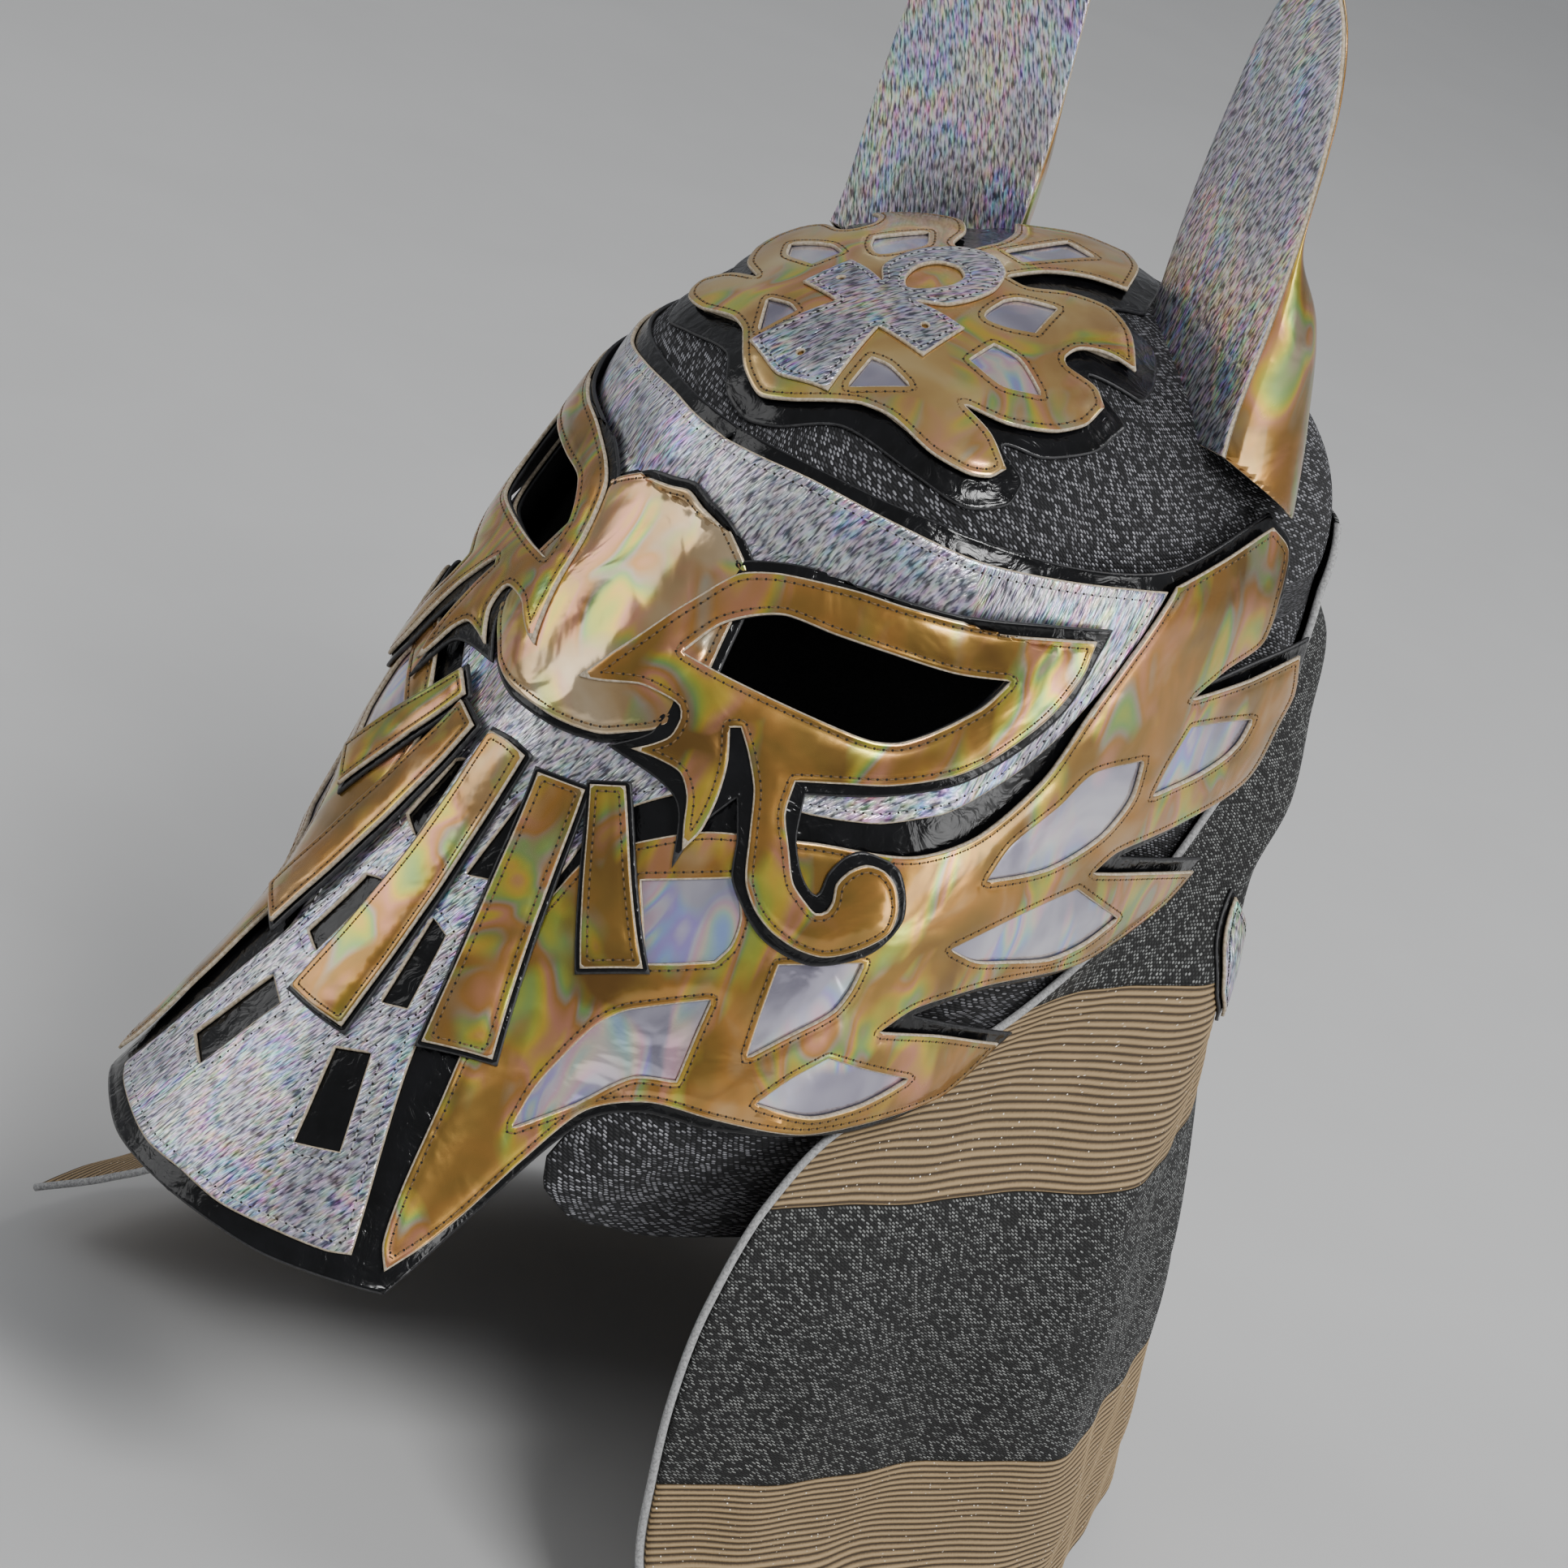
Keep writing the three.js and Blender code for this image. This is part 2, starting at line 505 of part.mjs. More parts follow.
// Crown panel: black border, pearl backing, gold flames with windows, and the silver ankh.
const onCrown = (outline) => cutter(TOP_PLANE, outline, -60, 200);
const crownWindows = [
  ...CROWN_WINDOWS.map((outline) => pairOf(onCrown(outline))),
  onCrown(wholeOutline(CROWN_BACK_WINDOW)),
];
add('crown_border', layer(1).intersect(onCrown(wholeOutline(CROWN_BORDER))), finishes.patent);
add('crown_backing', layer(2).intersect(onCrown(wholeOutline(CROWN_BACKING))), finishes.pearl);
add('crown_panel', without(layer(3).intersect(onCrown(wholeOutline(CROWN))), crownWindows), finishes.gold);
const ankhHole = onCrown(wholeOutline(ANKH_HOLE));
add('crown_ankh', layer(4).intersect(onCrown(wholeOutline(ANKH))).subtract(ankhHole), finishes.silver);

// Two triangles for each four-sided patch between one ring of points and the next one up
function ringFaces(cols, ringCount) {
  const faces = [];
  for (let i = 0; i < ringCount - 1; i++) {
    for (let j = 0; j < cols; j++) {
      const k = (j + 1) % cols;
      const low = i * cols;
      const high = low + cols;
      faces.push([low + j, low + k, high + k], [low + j, high + k, high + j]);
    }
  }
  return faces;
}

// A solid of the upper head, one gap bigger all round, that the ears stand off.
function headClearance() {
  const rings = UPS.filter((up) => up >= 4).map((up) => AROUND.map((r) => offHead(r, up, GAP)));
  const base = new THREE.Vector3(0, 0, rings[0][0].z);
  const top = headPoint(0, 8).add(new THREE.Vector3(0, 0, GAP));
  const cols = AROUND.length;
  const points = [...rings.flat(), base, top];
  const faces = ringFaces(cols, rings.length);
  const last = (rings.length - 1) * cols;
  for (let j = 0; j < cols; j++) {
    const k = (j + 1) % cols;
    faces.push([last + j, last + k, points.length - 1], [k, j, points.length - 2]);
  }
  return solidOf(meshOf(points, faces));
}
const headClear = headClearance();

// A closed solid through rings of points, with a flat fan at each end.
function ringLoft(rings) {
  const cols = rings[0].length;
  const faces = ringFaces(cols, rings.length);
  const last = (rings.length - 1) * cols;
  for (let j = 1; j < cols - 1; j++) {
    faces.push([0, j + 1, j], [last, last + j, last + j + 1]);
  }
  return solidOf(meshOf(rings.flat(), faces));
}

// Ears: a stiff silver front and a gold back that bulges behind it.

function earFront() {
  return ringLoft(EAR_ROWS.map((row) => {
    const e = record(EAR_COLUMNS, row);
    const a = new THREE.Vector3(e.innerX, e.innerY, e.z);
    const b = new THREE.Vector3(e.outerX, e.outerY, e.z);
    const back = new THREE.Vector3(-(b.y - a.y), b.x - a.x, 0).normalize().multiplyScalar(VINYL);
    return [a, b, b.clone().add(back), a.clone().add(back)];
  }));
}

function earBack() {
  return ringLoft(EAR_ROWS.map((row) => {
    const e = record(EAR_COLUMNS, row);
    const a = new THREE.Vector3(e.innerX, e.innerY, e.z);
    const b = new THREE.Vector3(e.outerX, e.outerY, e.z);
    const across = b.clone().sub(a);
    const back = new THREE.Vector3(-across.y, across.x, 0).normalize();
    const start = VINYL + GAP;
    const arc = (depth, inset) => Array.from({ length: EAR_BACK_STEPS + 1 }, (_, i) => {
      const angle = Math.PI * i / EAR_BACK_STEPS;
      const along = 0.5 - (0.5 - inset / across.length()) * Math.cos(angle);
      return a.clone().addScaledVector(across, along)
        .addScaledVector(back, start + depth * Math.sin(angle) ** 0.8);
    });
    const inner = arc(Math.max(e.depth - VINYL, THIN_EDGE), Math.min(VINYL, across.length() / 5));
    return [...arc(e.depth, 0).reverse(), ...inner];
  }));
}
const belowEars = below(EAR_BASE_Z);
addPair('ear_front', without(earFront(), [headClear, belowEars]), finishes.silver);
addPair('ear_back', without(earBack(), [headClear, belowEars]), finishes.gold);

// A closed wall between two open sheets of the same grid, rows running down.
function sheetSolid(outer, inner) {
  const cols = outer[0].length;
  const points = [...outer.flat(), ...inner.flat()];
  const at = (sheet, i, j) => sheet * outer.length * cols + i * cols + j;
  const faces = [];
  const patch = (a, b, c, d) => faces.push([a, b, c], [a, c, d]);
  const end = outer.length - 1;
  const side = cols - 1;
  for (let i = 0; i < end; i++) {
    for (let j = 0; j < side; j++) {
      patch(at(0, i, j), at(0, i + 1, j), at(0, i + 1, j + 1), at(0, i, j + 1));
      patch(at(1, i, j), at(1, i, j + 1), at(1, i + 1, j + 1), at(1, i + 1, j));
    }
    patch(at(0, i, 0), at(1, i, 0), at(1, i + 1, 0), at(0, i + 1, 0));
    patch(at(0, i, side), at(0, i + 1, side), at(1, i + 1, side), at(1, i, side));
  }
  for (let j = 0; j < side; j++) {
    patch(at(0, 0, j), at(0, 0, j + 1), at(1, 0, j + 1), at(1, 0, j));
    patch(at(0, end, j), at(1, end, j), at(1, end, j + 1), at(0, end, j + 1));
  }
  return solidOf(meshOf(points, faces));
}

// Cape: bands of knit sewn one below the other, with piping down each front edge.
function headUp(z) {
  let low = 0;
  let high = 8;
  for (let i = 0; i < 30; i++) {
    const mid = (low + high) / 2;
    if (headPoint(3, mid).z < z) low = mid;
    else high = mid;
  }
  return low;
}

function capePoint(row, t, off) {
  const c = record(CAPE_COLUMNS, row);
  const up = headUp(Math.max(c.z, CAPE_LEAVES_HEAD_Z));
  const round = Math.min(c.edge + (6 - c.edge) * t, 6);
  const normal = headNormal(Math.min(round, 5.99), up);
  const flat = new THREE.Vector3(round > 5.98 ? 0 : normal.x, normal.y, 0).normalize();
  const spread = THREE.MathUtils.smoothstep(t, c.flat, c.flat + 0.45);
  const loose = THREE.MathUtils.smoothstep(t, c.flat, c.flat + 0.3);
  const fold = c.wave * loose * Math.sin(t * CAPE_WAVES * Math.PI * 2);
  const point = headPoint(round, up).addScaledVector(normal, off);
  point.addScaledVector(flat, c.edgeOut + (c.sideOut - c.edgeOut) * spread + fold);
  point.z = c.z;
  if (t >= 1) point.x = 0;
  return point;
}

function capeBand(band) {
  const rows = CAPE_ROWS.slice(band.from, band.to + 1).map((row) => [...row]);
  const between = (a, b, mm) => a.map((value, k) => value + (b[k] - value) * mm / Math.abs(b[0] - a[0]));
  if (band.from > 0) rows[0] = between(rows[0], rows[1], GAP);
  const outer = [];
  const inner = [];
  rows.forEach((row) => {
    const half = (off) => Array.from({ length: CAPE_COLS + 1 }, (_, j) => capePoint(row, j / CAPE_COLS, off));
    const full = (off) => {
      const near = half(off);
      const far = near.slice(0, -1).map((p) => new THREE.Vector3(-p.x, p.y, p.z)).reverse();
      return [...near, ...far];
    };
    outer.push(full(-CAPE_INSET));
    inner.push(full(-CAPE_INSET - CAPE_KNIT));
  });
  return sheetSolid(outer, inner);
}
CAPE_BANDS.forEach((band) => add(band.name, capeBand(band), { color: band.color, roughness: 0.85 }));

function piping() {
  const centre = -CAPE_INSET - CAPE_KNIT / 2;
  const sides = 6;
  return ringLoft([...CAPE_ROWS].reverse().map((row) => {
    const edge = capePoint(row, 0, centre);
    const away = edge.clone().sub(capePoint(row, 1 / CAPE_COLS, centre)).normalize();
    const out = new THREE.Vector3(-away.y, away.x, 0).normalize();
    const middle = edge.clone().addScaledVector(away, PIPING_STEP);
    return Array.from({ length: sides }, (_, i) => {
      const angle = i * 2 * Math.PI / sides;
      return middle.clone().addScaledVector(away, PIPING_RADIUS * Math.cos(angle))
        .addScaledVector(out, PIPING_RADIUS * Math.sin(angle));
    });
  }));
}
addPair('cape_piping', piping(), finishes.grey);

// Nape tabs: a silver drop over a black border, on the cape behind each side.
function capeLayer(level) {
  const off = -CAPE_INSET + GAP + (level - 1) * (VINYL + GAP);
  const rows = CAPE_ROWS.slice(2, 9);
  const sheet = (extra) => rows.map((row) => Array.from({ length: CAPE_COLS + 1 },
    (_, j) => capePoint(row, j / CAPE_COLS, off + extra)));
  return sheetSolid(sheet(VINYL), sheet(0));
}
const tabOutline = TAB.map(([x, y]) => [x + TAB_CENTRE[0], y + TAB_CENTRE[1]]);
const tabBorder = cutter(REAR_PLANE, grown(tabOutline, TAB_BORDER));
addPair('tab_border', capeLayer(1).intersect(tabBorder), finishes.patent);
addPair('tab_panel', capeLayer(2).intersect(cutter(REAR_PLANE, tabOutline)), finishes.silver);

export default group;
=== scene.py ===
# Looks for the luchador mask: sewn vinyl panels, stitches, knit hood and cape, and a plain studio.
# Tables are in millimetres, as in the part's source; meshes are in metres.
import math

import bpy
import numpy as np
from mathutils import Matrix, Vector
from mathutils.bvhtree import BVHTree
from mathutils.geometry import delaunay_2d_cdt


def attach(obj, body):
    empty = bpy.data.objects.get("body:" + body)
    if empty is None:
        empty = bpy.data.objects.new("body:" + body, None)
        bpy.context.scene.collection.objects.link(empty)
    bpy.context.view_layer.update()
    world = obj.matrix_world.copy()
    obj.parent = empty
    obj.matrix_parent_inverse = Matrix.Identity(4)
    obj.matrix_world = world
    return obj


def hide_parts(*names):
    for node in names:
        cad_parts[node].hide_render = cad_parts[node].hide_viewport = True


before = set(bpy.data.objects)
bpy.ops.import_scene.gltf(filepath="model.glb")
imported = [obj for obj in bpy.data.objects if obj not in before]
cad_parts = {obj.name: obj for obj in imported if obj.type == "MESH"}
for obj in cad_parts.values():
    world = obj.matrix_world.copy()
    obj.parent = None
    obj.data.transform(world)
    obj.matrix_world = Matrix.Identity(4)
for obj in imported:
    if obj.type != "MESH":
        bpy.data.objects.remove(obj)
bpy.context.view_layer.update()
MM = 0.001

# Sizes, as in the part's source
GAP = 0.3
VINYL = 1.0
KNIT = 1.4
HOOD_TUCK = 6.0
CAPE_KNIT = 1.2
CAPE_INSET = 2.8
HEM_Z = -226.0
NECK_TUCK = 9.0
CROWN_TOP = KNIT
DOME_CENTRE_Y = -6.5
DOME_LEAN = 0.1
PIPING_RADIUS = 1.05
PIPING_STEP = 1.7
RIB_PITCH = 1.65
RIB_DEPTH = 0.34
RIB_ROW, PLAIN_ROW = 0.33, 1.7
EAR_FOOT_Z = -24.0
EAR_FOOT_SLOPE = 0.5

# Sewing: the cut edge's width and rounding, the dip along a seam, the thread and its holes
EDGE = 0.35
CUT_DROP, CUT_REACH = 0.32, 0.28
SEAM_DIP, SEAM_REACH = 0.2, 0.5
PUFF_REACH = 3
OUTLINE_STEP, SEAM_STEP = 1.25, 0.5
STITCH_PITCH = 2.1
STITCH_LENGTH = 1.5
THREAD_WIDE, THREAD_RAISED, THREAD_SUNK = 0.27, 0.16, 0.05
MIDDLE_CLEARANCE = 1.2
HOLE_RADIUS = 0.34
NEVER = 1e9

SECTION_ROWS = np.array([
    [-249, -227, 50, -205, 62, -181, 74, -117, 76, -19, 54, 52, 68],
    [-232, -214, 45, -195, 55, -171, 75, -113, 76, -17, 54, 53, 70],
    [-194, -185, 32, -177, 53, -152, 82, -105, 78, -13, 56, 56, 74],
    [-157, -162, 22, -158, 56, -136, 82, -90, 80, -5, 58, 63, 81],
    [-124, -147, 17, -141, 59, -119, 82, -75, 81, -1, 60, 69, 87],
    [-99, -135, 17, -133, 61, -104, 81, -63, 81, 1, 62, 73, 90],
    [-79, -123, 18, -120, 61, -93, 81, -54, 80, 3, 62, 75, 92],
    [-62, -113, 20, -110, 60, -84, 80, -47, 79, 4, 61, 74, 91],
], float)

# z, edge round the head, flat share, edge out, side out, fold depth
CAPE_ROWS = np.array([
    [-46, 5.0, 0.25, 0, 0, 0],
    [-62, 4.9, 0.15, 0, 3, 0],
    [-80, 4.86, 0, 0, 13, 0],
    [-104, 4.78, 0, 0, 19, 0.5],
    [-126, 4.6, 0, 0, 22, 1],
    [-148, 4.35, 0.05, 0, 20, 1],
    [-169, 3.9, 0.1, 0, 25, 1.5],
    [-190, 3.34, 0.1, 0, 31, 2],
    [-210, 3.05, 0, 4, 34, 2.5],
    [-234, 2.9, 0, 9, 39, 3],
    [-258, 2.86, 0, 12, 43, 3.5],
    [-282, 2.87, 0, 15, 46, 4],
    [-303, 2.9, 0, 18, 49, 4],
    [-318, 2.9, 0, 34, 50, 4],
    [-332, 2.9, 0, 54, 52, 4],
], float)
CAPE_WAVES = 3

# z, inner x and y, outer x and y, depth of the back
EAR_ROWS = np.array([
    [-34, 25, 8, 72, -12, 35],
    [-12, 24, 6, 68, -11.5, 33],
    [16, 23, 5, 68, -12, 23],
    [38, 23.5, 4, 67.5, -12.5, 4],
    [58, 25, 3, 66, -13, 2.5],
    [73, 26.5, 2.5, 63.5, -13, 2.5],
    [88, 31, 0, 57, -11.5, 2.3],
    [99, 36, -2, 44, -5.5, 2],
], float)

# Outlines: a third value marks a sharp corner.
FACE_BASE = [
    (-84, -52.5), (-44, -57.5), (-2.5, -60), (27, -56.5), (57, -41.5, 1), (66.5, -49), (67, -72),
    (46, -86.5, 1), (86, -73, 1), (86, -94), (80.5, -114), (61, -125.5), (44, -132.5, 1),
    (79, -137, 1), (67.5, -151.5), (46, -163.5), (11.5, -169.5), (-4, -175.5, 1), (31, -182.5, 1),
    (12.5, -201), (-10.5, -207.5), (-47.5, -210), (-64, -209.5), (-76.5, -214.5), (-100, -244.5),
    (-114.5, -262, 1), (-143, -261.5), (-166, -257, 1), (-190, -257, 1), (-190, -200, 1),
    (-130, -120, 1), (-110, -52.5, 1),
]
FRONT_PANEL = [
    (-84, -56.3), (-77.5, -56.8), (-64.2, -57.9), (-44.4, -61.2), (-23.3, -64), (-2.6, -63.4),
    (15.4, -62.1), (26.1, -61.5, 1), (21.9, -73.6), (16.8, -85.9), (9, -100.4), (2.1, -109.9),
    (-6.6, -117.9), (-13.7, -123.1), (-19.7, -125.5), (-29.2, -128.8), (-39.2, -130.3),
    (-45.7, -130.8), (-56.5, -131.2), (-72.6, -134.4), (-85.1, -142.8), (-91.4, -150.4),
    (-95.7, -160.2), (-103.2, -176.6), (-111.4, -193.9), (-119, -206.6), (-123.4, -255.6, 1),
    (-129.2, -256.5), (-142.9, -255.9), (-154.6, -254.9), (-164.5, -252, 1), (-190, -252, 1),
    (-190, -200, 1), (-130, -120, 1), (-110, -56, 1),
]
CHEEK = [
    (-115.8, -257.1, 1), (-117.3, -251.2), (-115.8, -238.3), (-111.9, -219.1), (-107.6, -197.8),
    (-102.7, -178.9), (-96.4, -165.7), (-91, -156.4), (-81.4, -149.3), (-66.3, -141.3),
    (-44, -136.7), (-19.8, -134.5), (-4.5, -127.2), (8.2, -111.2), (13.7, -94.7), (22, -72.8),
    (27.3, -60.1, 1), (40.8, -53.1), (56.1, -45, 1), (62.8, -49.8), (63.8, -61), (63.6, -73),
    (52.7, -80.1), (44.4, -87.6, 1), (64, -83), (80.1, -76.7, 1), (83.3, -87.4), (81.2, -96.4),
    (77.8, -111.3), (59.5, -122.3), (39.2, -129.7), (33.5, -135.2, 1), (51.4, -136.4),
    (73.4, -138.7, 1), (65.6, -148.8), (44.6, -160.5), (27.8, -163.6), (10.8, -166.4),
    (-6.5, -172.1), (-14.4, -178.9, 1), (3.9, -179.8), (24, -183.2, 1), (18.9, -191),
    (11.5, -197.8), (-10.9, -204), (-26, -207.1), (-47.4, -206.7), (-63.8, -206.1),
    (-78.1, -211.7), (-90.1, -226.2), (-102, -241.5),
]
CHEEK_BACKING = [
    (-99, -226), (-92, -196), (-86, -178), (-82, -153), (-44, -140), (-18, -138), (0, -131),
    (16, -108), (40, -93), (72, -88), (66, -112), (36, -130), (34, -137), (53, -146), (42, -158),
    (8, -164), (-17, -176), (-16, -181), (2, -187), (-8, -200), (-26, -204.5), (-58, -203),
    (-80, -213),
]
CHEEK_WINDOWS = [
    [(-78.6, -157, 1), (-59.3, -149.6, 1), (-55.7, -157.5), (-56, -164.5), (-58.7, -169.2, 1),
     (-73.7, -174.2, 1)],
    [(-94.8, -219.5, 1), (-91.7, -209.7), (-86.8, -200.4), (-81.1, -191.2), (-74.8, -185.6),
     (-57, -178.3, 1), (-58.1, -187.3), (-59.3, -199.4, 1), (-69.3, -201), (-80.9, -210.5)],
    [(-43.9, -166.5, 1), (-24.4, -161.8, 1), (-25.6, -169.4), (-28.2, -175.2), (-36.2, -182.5),
     (-44.7, -190.1, 1), (-44.6, -179)],
    [(-39.3, -200.8, 1), (-32.8, -193.4), (-25.3, -187, 1), (-14.1, -189.2), (-1.3, -191.5, 1),
     (-7, -195.6), (-12.5, -198.6), (-24.4, -202.2)],
    [(1.2, -137.9, 1), (5.2, -128.3), (15.3, -117), (21.6, -108), (35.5, -104.1, 1),
     (36.5, -115.1), (31.6, -125.1), (18.2, -133.9)],
    [(-2.5, -156, 1), (12.8, -147.4), (30.1, -139.6, 1), (48.9, -149.3, 1), (40.4, -155.3),
     (29.5, -159.1), (15.4, -159.5), (6.5, -159.2)],
    [(43.8, -114.1, 1), (45.3, -104.1), (47.7, -95.3, 1), (70.1, -93.8, 1), (68.6, -100.2),
     (65.2, -104.4), (57.1, -109.3)],
]
EYE = [
    (-100.7, -117.9, 1), (-96.1, -111), (-90.5, -103.9), (-82.1, -93.6), (-73.5, -84.3),
    (-66, -81.4), (-58.7, -80.3), (-47.2, -79.4), (-36.8, -79.5), (-24.5, -78.9), (-14.2, -77.8),
    (-2.9, -75.9), (8, -74.4, 1), (7.5, -83.1), (4.8, -90.4), (1.4, -96.2), (-4.1, -102.9),
    (-9.6, -108.5), (-15.8, -112.9), (-24, -116.8), (-32, -119.8), (-41.3, -121.9),
    (-51.1, -124.5, 1), (-51.6, -132.3), (-48.9, -140.5), (-46.4, -146.6), (-42.5, -150.2),
    (-39.7, -152), (-37.5, -150.9), (-36.7, -148.3), (-36.9, -144.3), (-34.7, -140.6),
    (-31.3, -138.3), (-27, -138.7), (-23.5, -141.6), (-21.3, -147.2), (-21.8, -152.6),
    (-25.8, -156.8), (-30.6, -159.9), (-35.6, -161.8), (-41.9, -161.3), (-48.6, -158.7),
    (-53.6, -154.7), (-56.9, -149.3), (-58, -139.7), (-59.4, -129.1), (-62.6, -121.4),
    (-65.5, -116.6, 1), (-67.8, -117.3, 1), (-66.2, -124.9), (-66.3, -133.6), (-68, -141.8),
    (-71.1, -147.5, 1), (-71.9, -142), (-72.7, -135.3), (-75.4, -130.5), (-80.9, -129),
    (-87, -128.6, 1), (-82.9, -125.9), (-79.7, -122.9), (-78.7, -118.5), (-79.7, -116.2),
    (-83, -115.2), (-89.7, -114.6),
]
EYE_BORDER = [
    (-104.2, -118.5, 1), (-98, -109), (-88, -96), (-75, -82), (-62.5, -78), (-47.2, -76.8),
    (-24.5, -76.2), (-4, -73.4), (11.8, -71.5, 1), (7.3, -91.5), (-2, -105), (-14, -115.2),
    (-31, -122.3), (-48.3, -126.6, 1), (-48, -136.5), (-44.6, -144.5), (-40.3, -148),
    (-39, -142.6), (-36, -137.6), (-32, -135.6), (-23, -138), (-18.6, -149), (-24, -158.8),
    (-37, -164.7), (-50.2, -161), (-59.5, -150.3), (-60.5, -141), (-62.5, -132, 1),
    (-68.5, -141), (-72.6, -152, 1), (-75.2, -136.8), (-92.5, -129.8, 1), (-84, -123.4),
    (-83.5, -118.6, 1),
]
EYE_HOLE = [
    (-81.8, -105.4, 1), (-74.7, -96.8), (-68.6, -92.6), (-61.3, -89.8), (-49.5, -90.4),
    (-32.9, -90.7), (-21.6, -90.7), (-9.4, -89, 1), (-14.2, -96.2), (-23.4, -104.4),
    (-30.7, -109.1), (-36.1, -110.4), (-41.7, -110.4), (-58.5, -108.7), (-72.3, -107),
]
CROWN = [
    (0, -104.5), (8.1, -101.5), (16.1, -94.3), (19.6, -91.3), (26.5, -88.4), (38.4, -87.4),
    (46.8, -84.1), (50.4, -80.3), (51.1, -76, 1), (43.5, -73.1), (34.6, -73, 1), (43.8, -68),
    (50.4, -59.4), (52.3, -50.9), (50.5, -43.2, 1), (45.6, -40.7), (38.2, -42.4), (36, -40.7),
    (35.2, -34.9), (38.6, -29.4), (44.4, -26.2, 1), (34, -16.8), (25.4, -14.6), (17.6, -20.2),
    (12.3, -29.4), (7, -31, 1), (8.5, -17.8), (12.4, -9), (19, -2.1, 1), (10, 11), (0, 18, 1),
]
CROWN_BORDER = [
    (0, -110), (9, -107.5), (20, -97.5), (39, -93), (51, -89), (56.5, -80), (55, -73, 1),
    (46.5, -71.5), (53.5, -65), (57.5, -52), (55.5, -39, 1), (45, -38), (41, -36.5), (51, -29, 1),
    (47.5, -21), (37, -10.5), (24, -11.5), (25.5, -1, 1), (13, 17), (0, 23, 1),
]
CROWN_BACKING = [
    (0, -100), (8, -98), (20, -89.5), (44, -84), (30, -73), (47, -58), (45, -44), (33, -42),
    (33, -34), (40, -26), (30, -19), (20, -22), (6, -34), (7, 8), (0, 13),
]
CROWN_WINDOWS = [
    [(17.4, -48.7), (14.8, -39.7, 1), (15.5, -35.4), (21.8, -28.7, 1), (27, -41.8, 1), (22.6, -46.7)],
    [(26.3, -62.7, 1), (25.6, -53.9, 1), (31.9, -52), (42.1, -55.3, 1), (35.9, -61.6)],
    [(14.5, -90.5, 1), (12.4, -80.8, 1), (16.2, -79.3), (23.5, -79.5, 1)],
]
CROWN_BACK_WINDOW = [(0, -21.5), (3, -21.5, 1), (4.5, 1.5, 1), (0, 1.5)]
ANKH = [
    (0, -98.5), (12.6, -95, 1), (10.2, -85.4), (7, -73.1, 1), (19.6, -71.6, 1), (18.6, -57.1, 1),
    (12, -58), (5.6, -59.8, 1), (10.4, -54.6), (12.1, -47), (11.4, -39.5), (6.8, -31.6), (0, -28.5),
]
ANKH_HOLE = [(0, -57), (3.5, -54), (5.3, -48), (4.2, -42.8), (0, -40.5)]
ANKH_RIVETS = [(-13, -65.5), (13, -64.5), (0, -91)]
NOSE = [
    (0, -106.5), (5.9, -107.9), (12.3, -109.3), (17.6, -112.2), (21.9, -115.1), (24.1, -118.1, 1),
    (26.6, -130.7), (29, -141.2), (30.9, -149.2, 1), (26.3, -157.2), (21.4, -161.6),
    (16, -165.7), (6.3, -169.3), (0, -170),
]
CENTRE_BAR = [(0, -180.5), (5, -181, 1), (9, -258.5, 1), (0, -259)]
INNER_BAR = [(9.4, -182.3, 1), (20.3, -179.1, 1), (38.1, -243.1, 1), (26.1, -249.7, 1)]
OUTER_BAR = [(20.6, -177.2, 1), (27.5, -172.4, 1), (51.3, -204.3, 1), (41.9, -213.4, 1)]
SLOTS = [
    [(10.1, -263.2, 1), (17.9, -259, 1), (26.6, -281.6, 1), (17.2, -286.4, 1)],
    [(8.9, -224.9, 1), (14.3, -226.5, 1), (18, -245.5, 1), (11.9, -248.1, 1)],
    [(9.5, -190, 1), (13, -192, 1), (15.5, -209, 1), (9, -212, 1)],
]
TAB = [(0, 16, 1), (5, 8), (9, -1), (10, -8), (6.5, -14), (0, -16.5), (-6.5, -14), (-10, -8),
       (-9, -1), (-5, 8)]
TAB_CENTRE = (24, -165)


# Curves and grids
def catmull(rows, t):
    """Rows of numbers, read smoothly at the places t."""
    rows = np.asarray(rows, float)
    t = np.asarray(t, float)
    full = np.concatenate([2 * rows[:1] - rows[1:2], rows, 2 * rows[-1:] - rows[-2:-1]])
    i = np.clip(np.floor(t).astype(int), 0, len(rows) - 2)
    f = (t - i).reshape(t.shape + (1,) * (rows.ndim - 1))
    p, q, r, s = full[i], full[i + 1], full[i + 2], full[i + 3]
    return 0.5 * (2 * q + (r - p) * f + (2 * p - 5 * q + 4 * r - s) * f ** 2
                  + (3 * q - p - 3 * r + s) * f ** 3)


def smoothstep(x, low, high):
    t = np.clip((x - low) / (high - low), 0, 1)
    return t * t * (3 - 2 * t)


def unit(v):
    """Vectors made one long."""
    return v / np.maximum(np.linalg.norm(v, axis=-1, keepdims=True), 1e-9)


def grid_normals(points):
    return unit(np.cross(np.gradient(points, axis=1), np.gradient(points, axis=0)))


